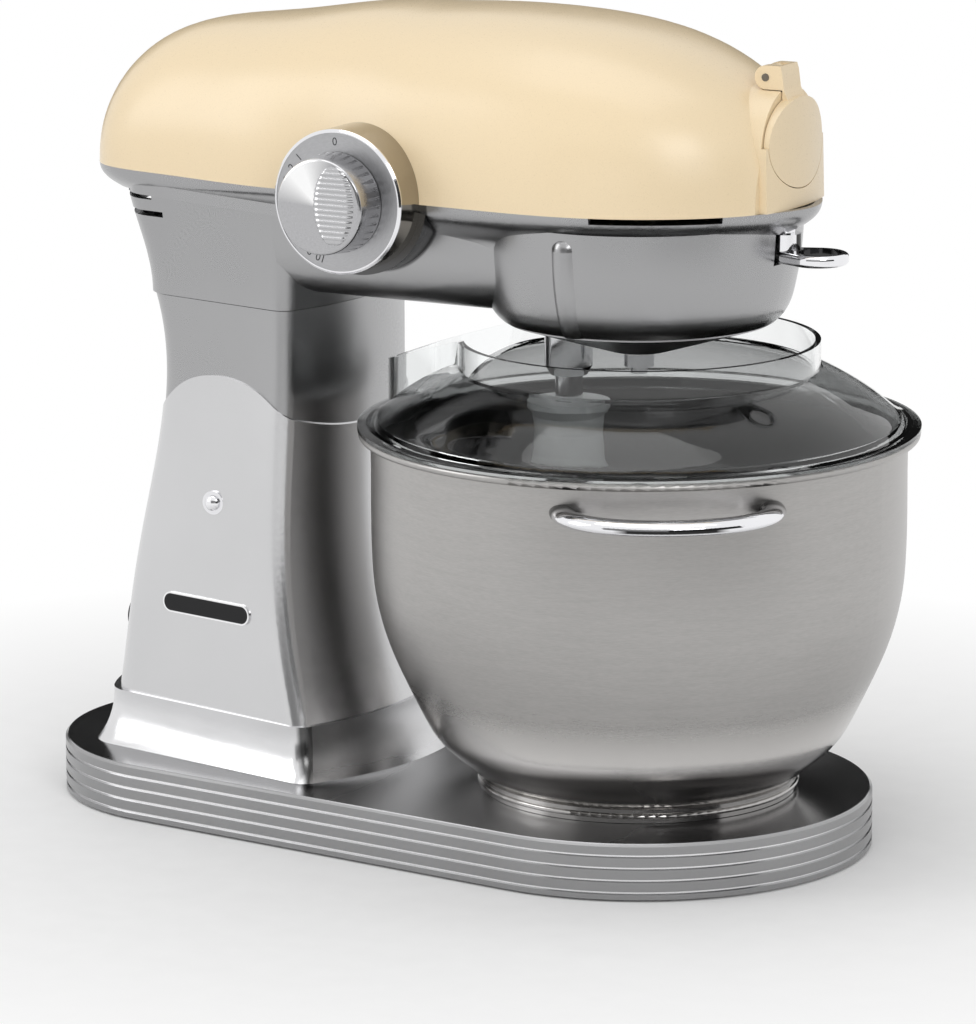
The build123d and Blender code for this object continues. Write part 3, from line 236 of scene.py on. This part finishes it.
bowl_line_run = 0.012
foot_highlight_rise = (0.047, 0.054)
foot_highlight_end = (0.056, 0.074)
foot_shade_rise = (0.037, 0.041)
foot_shade_end = (0.045, 0.053)
polish_end = (0.045, 0.085)
brushing_rise = (0.075, 0.12)
bowl_finish, where = start("bowl_steel")
across_x = axis(where, 0)
across_y = axis(where, 1)
height = axis(where, 2)
radius = reach(across_x, across_y)
angle = where.maths("ARCTAN2", across_y, across_x)
line_room = where.node("ShaderNodeCombineXYZ", {}, {0: radius, 1: height, 2: angle * bowl_line_run})
fine_lines = noise(line_room, 2600.0, detail=2.0)
broad_lines = noise(line_room, 420.0, detail=2.0)
lines = 0.65 * fine_lines + 0.35 * broad_lines
outward = stretched(where, (1.0, 1.0, 0.0))
turned_out = where.node(
    "ShaderNodeVectorMath", {"operation": "DOT_PRODUCT"}, {0: facing(where), 1: outward}, "Value"
)
inner = where.maths("LESS_THAN", turned_out, 0.0)
steel = (0.42, 0.41, 0.4)
# Painted highlight band over a painted dark band near the foot, in place of reflections.
foot_painted_highlight = between(height, *foot_highlight_rise) * between(height, *foot_highlight_end, 1.0, 0.0)
foot_painted_shade = between(height, *foot_shade_rise) * between(height, *foot_shade_end, 1.0, 0.0)
outer_steel = mixed(between(lines, 0.35, 0.65), shaded(steel, 0.93), shaded(steel, 1.07))
outer_steel = mixed(foot_painted_highlight, outer_steel, shaded(steel, 1.8))
outer_steel = mixed(foot_painted_shade, outer_steel, shaded(steel, 0.6))
# Painted shade: the inside of the bowl is painted darker.
inner_painted_shade_steel = mixed(between(lines, 0.35, 0.65), shaded(steel, 0.38), shaded(steel, 0.46))
close(
    where,
    {
        "Base Color": mixed(inner, outer_steel, inner_painted_shade_steel),
        "Metallic": 1.0,
        "Roughness": varied(lines, -0.05, 0.05) + between(height, *polish_end, 0.12, 0.34),
        "Normal": relief(lines * between(height, *brushing_rise), depth=0.00005, strength=0.2),
    },
)
dress(bowl_finish, "bowl", "bowl_floor")

# Bowl handle: bowed bar with two arms, polished and plated.
# The arms are welded to the bowl's wall under the rim.


def plated(name, colour=(0.86, 0.86, 0.88), rough=0.06, painted_dark_mask=None, painted_dark_tone=(0.4, 0.37, 0.32)):
    # Bright plate: almost a mirror, with faint polishing haze, and painted darker where a mask marks painted
    # shade or a painted dark reflection
    finish, where = start(name)
    haze = noise(where, 40.0)
    scratch = noise(stretched(where, (1.0, 9.0, 2.0)), 700.0, detail=1.0)
    tint = mixed(varied(haze), shaded(colour, 0.97), colour)
    # Painted shade or painted dark reflection where the mask is set
    if painted_dark_mask:
        tint = mixed(painted_dark_mask(where), tint, painted_dark_tone)
    close(
        where,
        {
            "Base Color": tint,
            "Metallic": 1.0,
            "Roughness": between(haze + 0.4 * scratch, 0.4, 1.0, rough - 0.02, rough + 0.05),
            "Normal": relief(scratch, depth=0.000006, strength=0.15),
        },
    )
    return finish


handle_low, handle_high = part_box("bowl_handle")
handle_way = ((handle_low + handle_high) / 2).xy.normalized()
stripe_rise = (-0.6, -0.45)
stripe_end = (0.05, 0.2)
bar_stripe_half = 0.018
bar_stripe_fade = 0.006
arm_root_reach = 0.112
arm_root_fade = 0.004


def dark_on_handle(where):
    # Painted dark reflection in a stripe along the front of the bar, in its middle, and painted shade at the
    # roots of its arms at the bowl's wall
    facing_up = axis(facing(where), 2)
    stripe = between(facing_up, *stripe_rise) * between(facing_up, *stripe_end, 1.0, 0.0)
    along_bar = axis(where, 1) * handle_way.x - axis(where, 0) * handle_way.y
    from_middle = where.maths("ABSOLUTE", along_bar)
    stripe = stripe * between(from_middle, bar_stripe_half, bar_stripe_half + bar_stripe_fade, 1.0, 0.0)
    out_reach = axis(where, 0) * handle_way.x + axis(where, 1) * handle_way.y
    root = between(out_reach, arm_root_reach, arm_root_reach + arm_root_fade, 1.0, 0.0)
    return where.maths("MAXIMUM", stripe, root)


# Near black painted reflection along the bar and painted shade at the arm roots.
dress(plated("chrome", painted_dark_mask=dark_on_handle, painted_dark_tone=(0.03, 0.03, 0.03)), "bowl_handle")

# Splash lid: clear moulded dome with a collar and a filling chute, tinted dark on the dome as painted shade
# for the bowl's dark inside, and clear on the walls.
# It rests loose on the bowl's rim, and light that falls through it is dimmed.
flange_top = 0.187
wall_flatness = (0.2, 0.35)
lid_finish, where = start("clear_plastic")
wipe = noise(stretched(where, (1.0, 1.0, 3.0)), 30.0)
flatness = where.maths("ABSOLUTE", axis(facing(where), 2))
over_flange = where.maths("GREATER_THAN", axis(where, 2), flange_top)
in_collar = between(flatness, *wall_flatness, 1.0, 0.0) * over_flange
# Painted shade: the dome is tinted dark for the bowl's dark inside seen through it.
dome_painted_shade = mixed(varied(wipe), (0.44, 0.45, 0.45), (0.47, 0.48, 0.48))
lid_rays = where.node("ShaderNodeLightPath", {}, {}, "Is Shadow Ray")
lid_shader = where.node(
    "ShaderNodeBsdfPrincipled",
    {},
    {
        "Base Color": mixed(in_collar, dome_painted_shade, (0.97, 0.98, 0.98)),
        "Roughness": varied(wipe, 0.01, 0.04),
        "Transmission Weight": 1.0,
        "IOR": 1.46,
    },
)
lid_shadow = where.node("ShaderNodeBsdfTransparent", {}, {"Color": (0.15, 0.15, 0.15)})
lid_surface = where.node("ShaderNodeMixShader", {}, {0: lid_rays, 1: lid_shader, 2: lid_shadow})
where.node("ShaderNodeOutputMaterial", {}, {"Surface": lid_surface})
dress(lid_finish, "splash_lid")

# Plinth skirt: flared steel foot of the column, which stands on the base.
# It is polished, duller on the face towards the bowl, and painted dark on its two front corners as a painted
# dark reflection.
corner_forward = (0.2, 0.45)
corner_sideways = (0.25, 0.5)
bowl_face_forward = (0.6, 0.85)
plinth_finish, where = start("plinth_steel")
plinth_facing = facing(where)
forward = axis(plinth_facing, 0)
sideways = where.maths("ABSOLUTE", axis(plinth_facing, 1))
# Painted dark reflection on the two front corners.
painted_reflection_at_corner = between(forward, *corner_forward) * between(sideways, *corner_sideways)
smear = noise(stretched(where, (1.0, 1.0, 3.0)), 30.0)
polished = mixed(varied(smear), (0.66, 0.66, 0.67), (0.72, 0.72, 0.73))
close(
    where,
    {
        "Base Color": mixed(painted_reflection_at_corner, polished, (0.12, 0.12, 0.12)),
        "Metallic": 1.0,
        "Roughness": varied(smear, 0.18, 0.24) + between(forward, *bowl_face_forward) * 0.16,
        "Normal": relief(noise(where, 500.0, detail=1.0), depth=0.00001, strength=0.2),
    },
)
dress(plinth_finish, "plinth_skirt")

# Column: pressed shell in satin silver, with an arched top edge that laps over the neck.
# The neck carries the head's hinge and is sprayed in the same silver.


def satin_metal(name, colour, rough, painted_dark_mask=None):
    # Sprayed silver with fine flake, faint cloudiness and a trace of orange peel, painted darker where a
    # mask marks painted shade
    finish, where = start(name)
    flake = noise(where, 2600.0, detail=1.0)
    cloud = noise(where, 14.0)
    peel = noise(where, 420.0, detail=1.0)
    tint = mixed(varied(cloud), shaded(colour, 0.97), shaded(colour, 1.03))
    tint = mixed(between(flake, 0.35, 0.75, 0.0, 0.25), tint, shaded(colour, 1.15))
    # Painted shade where the mask is set
    if painted_dark_mask:
        tint = mixed(painted_dark_mask(where), tint, shaded(colour, 0.3))
    close(
        where,
        {
            "Base Color": tint,
            "Metallic": 1.0,
            "Roughness": between(cloud + 0.3 * flake, 0.4, 0.9, rough - 0.03, rough + 0.03),
            "Normal": relief(peel, depth=0.00002, strength=0.25),
        },
    )
    return finish


dress(satin_metal("column_silver", shaded(silver, 1.45), rough=0.24), "column_shell")
dress(satin_metal("neck_silver", shaded(silver, 0.92), rough=0.28), "column_neck")

# Release button: plated push button that frees the head.
# It slides in a plated sleeve pressed into the column, with a return spring of drawn wire behind.


def brushed(name, colour, rough, stretch):
    # Ground or brushed metal, with its lines along one axis
    finish, where = start(name)
    lines = noise(stretched(where, stretch), 900.0, detail=2.0)
    cloud = noise(where, 18.0)
    close(
        where,
        {
            "Base Color": mixed(between(lines, 0.35, 0.65), shaded(colour, 0.94), shaded(colour, 1.06)),
            "Metallic": 1.0,
            "Roughness": between(lines + cloud, 0.6, 1.4, rough - 0.05, rough + 0.06),
            "Normal": relief(lines, depth=0.00003, strength=0.2),
        },
    )
    return finish


dress(plated("button_chrome"), "release_button")
dress(plated("sleeve_chrome", (0.8, 0.8, 0.82), rough=0.1), "button_sleeve")
dress(brushed("spring_steel", (0.5, 0.5, 0.51), rough=0.25, stretch=(1.0, 0.2, 1.0)), "release_spring")

# Badge: blank oblong plate fixed on the column's side.
# A black enamelled field lies inside a bright rim.
badge_low, badge_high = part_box("badge_plate")
badge_middle = (badge_low + badge_high) / 2
badge_half = (badge_high.z - badge_low.z) / 2
badge_reach = (badge_high.x - badge_low.x) / 2 - badge_half
badge_rim = 0.0008
badge_fade = 0.00016
badge_field_half = badge_half - badge_rim
badge_finish, where = start("badge")
along = where.maths("ABSOLUTE", axis(where, 0) - badge_middle.x)
past_end = where.maths("MAXIMUM", along - badge_reach, 0.0)
upward = axis(where, 2) - badge_middle.z
to_line = reach(past_end, upward)
field = between(to_line, badge_field_half, badge_field_half + badge_fade, 1.0, 0.0)
speck = noise(where, 900.0, detail=1.0)
close(
    where,
    {
        "Base Color": mixed(field, (0.85, 0.85, 0.86), (0.012, 0.012, 0.013)),
        "Metallic": 1 - field,
        "Roughness": varied(speck, 0.1, 0.16) + field * 0.2,
        "Specular IOR Level": 0.2,
        "Normal": relief(speck, depth=0.00001, strength=0.2),
    },
)
dress(badge_finish, "badge_plate")

# Cord gland: moulded black bush pushed into a hole at the rear of the column.
# It is sparked matt like the other black mouldings.


def moulded(name, colour, rough=0.45, grain_depth=0.00004):
    # Plastic with a fine sparked grain and faint flow marks
    finish, where = start(name)
    grain = noise(where, 1100.0, detail=2.0)
    flow = noise(stretched(where, (1.0, 1.0, 4.0)), 24.0)
    close(
        where,
        {
            "Base Color": mixed(varied(flow), shaded(colour, 0.92), shaded(colour, 1.1)),
            "Roughness": varied(grain, rough - 0.06, rough + 0.06),
            "Normal": relief(grain, depth=grain_depth, strength=0.3),
        },
    )
    return finish


dress(moulded("gland_plastic", (0.025, 0.025, 0.027), rough=0.5), "cord_gland")

# Hinge: cast bracket on the column's roof, and a ground steel pin through its knuckles.
# The head tilts on the pin.


def die_cast(name, colour, rough):
    # Aluminium casting with a shot-blasted skin
    finish, where = start(name)
    blast = noise(where, 1300.0, detail=3.0)
    stain = noise(where, 30.0)
    close(
        where,
        {
            "Base Color": mixed(varied(stain), shaded(colour, 0.9), shaded(colour, 1.06)),
            "Metallic": 1.0,
            "Roughness": varied(blast, rough - 0.06, rough + 0.08),
            "Normal": relief(blast, depth=0.00005, strength=0.35),
        },
    )
    return finish


dress(die_cast("hinge_cast", (0.5, 0.5, 0.51), rough=0.42), "hinge_bracket")
dress(brushed("pin_steel", (0.55, 0.55, 0.56), rough=0.22, stretch=(1.0, 0.1, 1.0)), "hinge_pin")

# Head casing: die-cast lower half of the head in satin silver, with neck, arm and nose in one shell.
# It hangs on the hinge pin, carries the drive and is painted darker on the ring behind the dial, as a
# painted dark reflection.
dial_low, dial_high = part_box("dial_plate")
dial_middle = (dial_low + dial_high) / 2
boss_reach = 0.0338
boss_fade = 0.001


# Painted dark reflection on the ring round the dial
def round_dial(where):
    from_dial = reach(axis(where, 0) - dial_middle.x, axis(where, 2) - dial_middle.z)
    return between(from_dial, boss_reach, boss_reach + boss_fade, 1.0, 0.0)


casing_silver = satin_metal("silver_enamel", shaded(silver, 0.9), rough=0.28, painted_dark_mask=round_dial)
dress(casing_silver, "head_casing")

# Casing bead: silver strip pressed into the groove between the casing's neck and its flared tray.
# It follows the neck's outline on the flat top of the neck, above the vent slits.


def new_mesh_object(name, points, faces, finish):
    mesh = bpy.data.meshes.new(name)
    mesh.from_pydata(points, [], faces)
    mesh.materials.append(finish)
    made = bpy.data.objects.new(name, mesh)
    bpy.context.scene.collection.objects.link(made)
    return made


neck_top = 0.272
neck_front = -0.12
slit_height = 0.002
bead_inset = 0.0003
bead_height = 0.005
level_slack = 0.0001
neck_rim = []
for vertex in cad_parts["head_casing"].data.vertices:
    if vertex.co.x < neck_front and -slit_height < vertex.co.z - neck_top < level_slack:
        neck_rim.append(vertex.co.xy)
neck_outline = [neck_rim[index] for index in convex_hull_2d(neck_rim)]
neck_middle = sum(neck_outline, Vector((0, 0))) / len(neck_outline)
bead_points = []
for level in (neck_top, neck_top + bead_height):
    for corner in neck_outline:
        inward = (neck_middle - corner).normalized() * bead_inset
        bead_points.append((corner.x + inward.x, corner.y + inward.y, level))
bead_count = len(neck_outline)
bead_faces = []
for corner in range(bead_count):
    after = (corner + 1) % bead_count
    bead_faces.append((corner, after, bead_count + after, bead_count + corner))
casing_bead = new_mesh_object("casing_bead", bead_points, bead_faces, casing_silver)
casing_bead.data.shade_smooth()
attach(casing_bead, "head")

# Head cover: upper half of the head, a shell enamelled in cream with a thin clear coat.
# It is screwed down on the casing along the seam.
cream = (0.82, 0.665, 0.44)
cover_finish, where = start("cream_enamel")
peel = noise(where, 320.0, detail=1.0)
speck = noise(where, 1800.0, detail=2.0)
close(
    where,
    {
        "Base Color": mixed(varied(speck), shaded(cream, 0.985), shaded(cream, 1.015)),
        "Roughness": varied(speck, 0.27, 0.33),
        "Coat Weight": varied(peel, 0.15, 0.25),
        "Coat Roughness": 0.2,
        "Normal": relief(peel, depth=0.00002, strength=0.15),
    },
)
dress(cover_finish, "head_cover")
plate_steel = zinc_plated("plate_steel", (0.55, 0.55, 0.55), rough=0.36)
dress(plate_steel, "head_screws")

# Front hub: flap over the accessory socket, enamelled like the cover.
# It hangs on a dark steel cross pin, and the cast socket behind it is fixed in the casing.
dress(cover_finish, "hub_cover")
dress(brushed("hub_pin_steel", (0.2, 0.18, 0.15), rough=0.35, stretch=(1.0, 0.1, 1.0)), "hub_cover_pin")
dress(die_cast("socket_cast", (0.55, 0.55, 0.56), rough=0.36), "hub_socket")

# Clamp lever: plated finger ring on a post that turns under the hub and locks an accessory.
# The wall of the ring's hole is painted dark, as painted shade.
lever_low, lever_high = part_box("clamp_lever")
ring_radius = (lever_high.y - lever_low.y) / 2
ring_hole = 0.0093
ring_fade = 0.0002


# Painted shade on the wall of the ring's hole
def in_ring(where):
    from_ring = reach(axis(where, 0) - (lever_high.x - ring_radius), axis(where, 1))
    return between(from_ring, ring_hole - ring_fade, ring_hole, 1.0, 0.0)


dress(plated("lever_chrome", painted_dark_mask=in_ring, painted_dark_tone=(0.06, 0.06, 0.06)), "clamp_lever")

# Speed dial: plated collar let into the head's side, and a satin plate with printed numerals inside it.
# The knob turns on a ground shaft that runs in to the switch.
collar_edge = 0.0012
dial_line_run = 0.004
painted_highlight_spread = (0.2, 0.9)


# Painted dark reflection: the collar's side behind its front edge is tinted dark brown.
def behind_edge(where):
    return where.maths("GREATER_THAN", axis(where, 1), dial_low.y + collar_edge)


dress(plated("collar_chrome", (0.84, 0.84, 0.86), rough=0.08, painted_dark_mask=behind_edge), "dial_collar")


def turned_metal(name, colour, rough, middle, painted_highlight_turn=None):
    # Faced on a lathe about an axis along Y, so the lines run round it, with a painted highlight in one
    # sector when a turn is given
    finish, where = start(name)
    out_x = axis(where, 0) - middle.x
    out_z = axis(where, 2) - middle.z
    turn = where.maths("ARCTAN2", out_z, out_x)
    out = reach(out_x, out_z)
    room = where.node("ShaderNodeCombineXYZ", {}, {0: out, 1: turn * dial_line_run, 2: axis(where, 1)})
    lines = noise(room, 3200.0, detail=2.0)
    tint = mixed(between(lines, 0.35, 0.65), shaded(colour, 0.95), shaded(colour, 1.05))
    if painted_highlight_turn is not None:
        # Painted highlight in one sector of the face
        off_painted_highlight = where.maths("ABSOLUTE", turn - math.radians(painted_highlight_turn))
        tint = mixed(between(off_painted_highlight, *painted_highlight_spread, 1.0, 0.0), tint, (0.97, 0.97, 0.97))
    close(
        where,
        {
            "Base Color": tint,
            "Metallic": 1.0,
            "Roughness": varied(lines, rough - 0.04, rough + 0.04),
            "Normal": relief(lines, depth=0.00002, strength=0.15),
        },
    )
    return finish


dress(turned_metal("dial_face", (0.44, 0.44, 0.45), rough=0.32, middle=dial_middle), "dial_plate")
knob_metal = turned_metal("knob_metal", (0.46, 0.46, 0.47), rough=0.2, middle=dial_middle, painted_highlight_turn=125.0)
dress(knob_metal, "speed_knob")
dress(brushed("knob_shaft_steel", (0.55, 0.55, 0.56), rough=0.25, stretch=(1.0, 0.1, 1.0)), "knob_shaft")
dress(moulded("black_plastic", (0.03, 0.03, 0.033)), "speed_switch")

numeral_reach = 0.0254
numeral_size = 0.0048
numeral_raise = 0.00003
numeral_first_turn = 92.0
numeral_second_turn = 136.0
numeral_step = 12.8
last_numeral = 10
numeral_turns = [numeral_first_turn]
for step in range(last_numeral):
    numeral_turns.append(numeral_second_turn + numeral_step * step)
facing_out = Matrix.Rotation(math.radians(90), 4, "X")
numeral_points = []
numeral_faces = []
for count, turn in enumerate(numeral_turns):
    outline = bpy.data.curves.new(f"numeral_{count}", "FONT")
    outline.body = str(count)
    outline.size = numeral_size
    outline.align_x = "CENTER"
    outline.align_y = "CENTER"
    outline.extrude = numeral_raise
    letter = bpy.data.objects.new(f"numeral_{count}", outline)
    bpy.context.scene.collection.objects.link(letter)
    bpy.context.view_layer.update()
    shape = bpy.data.meshes.new_from_object(letter)
    angle = math.radians(turn)
    spot = Vector((numeral_reach * math.cos(angle), 0, numeral_reach * math.sin(angle)))
    spot += Vector((dial_middle.x, dial_low.y, dial_middle.z))
    place = Matrix.Translation(spot) @ facing_out @ Matrix.Rotation(angle - math.pi / 2, 4, "Z")
    offset = len(numeral_points)
    numeral_points += [place @ vertex.co for vertex in shape.vertices]
    numeral_faces += [[offset + index for index in face.vertices] for face in shape.polygons]
    bpy.data.objects.remove(letter)
    bpy.data.curves.remove(outline)
    bpy.data.meshes.remove(shape)
ink = moulded("dial_ink", (0.02, 0.02, 0.022), rough=0.4, grain_depth=0.00001)
dial_numerals = new_mesh_object("dial_numerals", numeral_points, numeral_faces, ink)
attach(dial_numerals, "head")

# Finger grip: ribbed oval pad cast on the front of the speed knob, off its middle.
# It is brighter than the turned face round it.
knob_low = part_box("speed_knob")[0]
grip_forward = 0.0072
grip_up = 0.001
grip_middle = Vector((dial_middle.x + grip_forward, knob_low.y, dial_middle.z + grip_up))
grip_half_width = 0.0103
grip_half_height = 0.0168
grip_raise = 0.0011
grip_sink = 0.0006
grip_ribs = 15
grip_rib_depth = 0.0005
grip_columns = 12
grip_rows_per_rib = 8
grip_rows = grip_ribs * grip_rows_per_rib
grip_shoulder = 0.12
grip_points = []
for row in range(grip_rows + 1):
    up = 2 * row / grip_rows - 1
    spread = math.sqrt(max(1 - up * up, 0.0))
    groove = 0.5 - 0.5 * math.cos(2 * math.pi * grip_ribs * row / grip_rows)
    for column in range(grip_columns + 1):
        side = 2 * column / grip_columns - 1
        inside = min(1 - abs(side), 1 - abs(up)) / grip_shoulder
        swell = min(inside, 1.0)
        lift = grip_raise * math.sqrt(swell) - grip_rib_depth * (1 - groove) * swell
        lift -= grip_sink * (1 - swell)
        grip_points.append(
            grip_middle + Vector((side * spread * grip_half_width, -lift, up * grip_half_height))
        )
grip_faces = []
for row in range(grip_rows):
    for column in range(grip_columns):
        corner = row * (grip_columns + 1) + column
        above = corner + grip_columns + 1
        grip_faces.append((corner, corner + 1, above + 1, above))
grip_metal = turned_metal("grip_metal", (0.5, 0.5, 0.51), rough=0.16, middle=grip_middle)
grip = new_mesh_object("knob_grip", grip_points, grip_faces, grip_metal)
grip.data.shade_smooth()
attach(grip, "knob")

# Control board: green laminate with copper tracks under the varnish.
# It is clipped in the casing behind the switch.
board_finish, where = start("green_board")
tracks = where.node(
    "ShaderNodeTexBrick", {"offset": 0.5}, {"Vector": where, "Scale": 90.0, "Mortar Size": 0.06}, "Fac"
)
weave = noise(where, 1400.0, detail=2.0)
close(
    where,
    {
        "Base Color": mixed(tracks, (0.02, 0.11, 0.05), (0.05, 0.2, 0.1)),
        "Roughness": varied(weave, 0.3, 0.42),
        "Normal": relief(tracks + 0.2 * weave, depth=0.00004, strength=0.4),
    },
)
dress(board_finish, "control_board")

# Planetary drive: machined ring gear fixed in the nose, and a pinion that rolls round in it.
# The cast carrier closes the nose from below. Its shaft runs up to the belt pulley.
gear_steel = brushed("gear_steel", (0.5, 0.5, 0.51), rough=0.3, stretch=(1.0, 1.0, 0.15))
dress(gear_steel, "ring_gear", "planet_pinion", "main_bearing")
dress(die_cast("carrier_cast", (0.4, 0.4, 0.41), rough=0.33), "planet_carrier")
dress(plated("nut_steel", (0.62, 0.62, 0.63), rough=0.1), "hub_nut")
shaft_steel = brushed("shaft_steel", (0.6, 0.6, 0.61), rough=0.22, stretch=(0.1, 0.1, 1.0))
dress(shaft_steel, "main_shaft")
dress(plate_steel, "bearing_plate")
pulley_cast = die_cast("pulley_cast", (0.5, 0.5, 0.51), rough=0.4)
dress(pulley_cast, "driven_pulley")
dress(rubbery("belt_rubber", (0.025, 0.025, 0.026)), "drive_belt")

# Motor: drawn steel can on a bracket in the casing, with a varnished winding inside.
# A moulded fan and the small belt pulley sit on the same shaft.
dress(zinc_plated("can_steel", (0.45, 0.45, 0.46), rough=0.4), "motor_can")
dress(plate_steel, "motor_bracket")
dress(shaft_steel, "motor_shaft")
dress(pulley_cast, "motor_pulley")
winding_finish, where = start("copper_winding")
strands = where.node(
    "ShaderNodeTexWave",
    {"bands_direction": "DIAGONAL"},
    {"Vector": where, "Scale": 500.0, "Distortion": 2.0},
    "Fac",
)
varnish = noise(where, 200.0)
close(
    where,
    {
        "Base Color": mixed(between(strands, 0.2, 0.8), (0.3, 0.12, 0.05), (0.62, 0.3, 0.14)),
        "Metallic": varied(varnish, 0.6, 0.9),
        "Roughness": varied(varnish, 0.25, 0.4),
        "Normal": relief(strands, depth=0.0002, strength=0.6),
    },
)
dress(winding_finish, "motor_armature")
dress(moulded("fan_plastic", (0.05, 0.05, 0.055), rough=0.4), "cooling_fan")

# Beater shaft and tool: polished shaft that hangs from the carrier, with a cross pin.
# The milky plastic hub slides up over the pin and carries the cast dough hook.
dress(plated("tool_steel", (0.62, 0.62, 0.63), rough=0.1), "beater_shaft")
dress(shaft_steel, "shaft_pin")
dress(moulded("milky_plastic", (0.86, 0.89, 0.89), rough=0.35), "tool_hub")
dress(die_cast("hook_cast", (0.52, 0.52, 0.53), rough=0.34), "dough_hook")

# Studio: pale floor that whitens away from the object, white surroundings, soft boxes and dark flags.
# The flags show only in polished metal. The camera stands where the photograph was taken from.


def sheet_corners(half_x, half_y):
    return ((-half_x, -half_y), (half_x, -half_y), (half_x, half_y), (-half_x, half_y))


def seen_rays(tree):
    # 1 for what the camera sees straight, in metal or through glass, and 0 for light on the object
    empty = Wire(tree, None)
    straight = empty.node("ShaderNodeLightPath", {}, {}, "Is Camera Ray")
    in_metal = empty.node("ShaderNodeLightPath", {}, {}, "Is Glossy Ray")
    in_glass = empty.node("ShaderNodeLightPath", {}, {}, "Is Transmission Ray")
    return empty.maths("MINIMUM", straight + in_metal + in_glass, 1.0)


studio_middle = Vector((-0.08, 0.0, 0.17))
floor_reach = 12.0
shadow_reach = 0.16
white_reach = 0.48
floor_finish, where = start("studio_floor")
away = reach(axis(where, 0) - studio_middle.x, axis(where, 1))
paper = noise(where, 60.0)
pale = where.node(
    "ShaderNodeBsdfPrincipled",
    {},
    {
        "Base Color": mixed(varied(paper), (0.9, 0.9, 0.9), (0.92, 0.92, 0.92)),
        "Roughness": 1.0,
        "Specular IOR Level": 0.0,
    },
)
glow = where.node("ShaderNodeEmission", {}, {"Color": (1.0, 1.0, 1.0), "Strength": 1.0})
whitened = between(away, shadow_reach, white_reach) * seen_rays(where.tree)
floor_surface = where.node("ShaderNodeMixShader", {}, {0: whitened, 1: pale, 2: glow})
where.node("ShaderNodeOutputMaterial", {}, {"Surface": floor_surface})
floor_points = [(x, y, 0.0) for x, y in sheet_corners(floor_reach, floor_reach)]
floor = new_mesh_object("studio_floor", floor_points, [(0, 1, 2, 3)], floor_finish)

world = bpy.data.worlds.new("studio")
bpy.context.scene.world = world
world.use_nodes = True
world.node_tree.nodes.clear()
fill_light = 0.52
sky_seen = seen_rays(world.node_tree)
sky_strength = between(sky_seen, 0.0, 1.0, fill_light, 1.0)
sky = sky_seen.node("ShaderNodeBackground", {}, {"Color": (1.0, 1.0, 1.0), "Strength": sky_strength})
sky_seen.node("ShaderNodeOutputWorld", {}, {"Surface": sky})


def soft_box(name, spot, power, size, mirrored=True):
    lamp = bpy.data.lights.new(name, "AREA")
    lamp.energy = power
    lamp.shape = "RECTANGLE"
    lamp.size = size[0]
    lamp.size_y = size[1]
    made = bpy.data.objects.new(name, lamp)
    made.location = spot
    made.rotation_euler = (studio_middle - Vector(spot)).to_track_quat("-Z", "Y").to_euler()
    made.visible_glossy = mirrored
    bpy.context.scene.collection.objects.link(made)


soft_box("top_box", spot=(-0.1, -0.2, 2.0), power=8.0, size=(1.6, 1.2))
soft_box("left_box", spot=(-1.8, -1.2, 1.2), power=10.0, size=(1.0, 1.4))
soft_box("right_box", spot=(1.6, -1.4, 1.3), power=11.0, size=(0.8, 1.2))
soft_box("front_box", spot=(0.3, -2.4, 0.5), power=9.0, size=(1.4, 0.8), mirrored=False)


def dark_card(name, spot, size, shade):
    # Dark flag beside the set that only shows in polished metal
    finish, where = start(name)
    fade = noise(where, 0.8, detail=1.0)
    grey = (shade, shade, shade)
    tone = mixed(varied(fade), grey, shaded(grey, 1.2))
    cloth = where.node("ShaderNodeEmission", {}, {"Color": tone, "Strength": 1.0})
    where.node("ShaderNodeOutputMaterial", {}, {"Surface": cloth})
    turn = (studio_middle - Vector(spot)).to_track_quat("Z", "Y").to_matrix().to_4x4()
    place = Matrix.Translation(spot) @ turn
    corners = sheet_corners(size[0] / 2, size[1] / 2)
    points = [place @ Vector((x, y, 0.0)) for x, y in corners]
    made = new_mesh_object(name, points, [(0, 1, 2, 3)], finish)
    made.visible_camera = False
    made.visible_diffuse = False
    made.visible_shadow = False
    made.visible_transmission = False


dark_card("right_flag", spot=(1.6, -0.9, 0.1), size=(1.9, 2.0), shade=0.02)
dark_card("rear_flag", spot=(-1.5, 2.4, 0.7), size=(3.2, 1.7), shade=0.02)
dark_card("front_flag", spot=(0.45, -3.3, 0.6), size=(3.2, 2.4), shade=0.22)

camera_data = bpy.data.cameras.new("photo_camera")
camera_data.sensor_width = 36.0
camera_data.lens = 208.6
camera_data.clip_end = 60.0
camera = bpy.data.objects.new("photo_camera", camera_data)
bpy.context.scene.collection.objects.link(camera)
camera_spot = Vector((1.148, -2.2004, 0.6841))
camera_target = Vector((-0.07384, 0.0, 0.13699))
camera_roll = math.radians(-0.21)
camera.rotation_mode = "QUATERNION"
looking = (camera_target - camera_spot).to_track_quat("-Z", "Y").to_matrix().to_4x4()
camera.matrix_world = Matrix.Translation(camera_spot) @ looking @ Matrix.Rotation(camera_roll, 4, "Z")
bpy.context.scene.camera = camera
bpy.context.scene.view_settings.view_transform = "Standard"
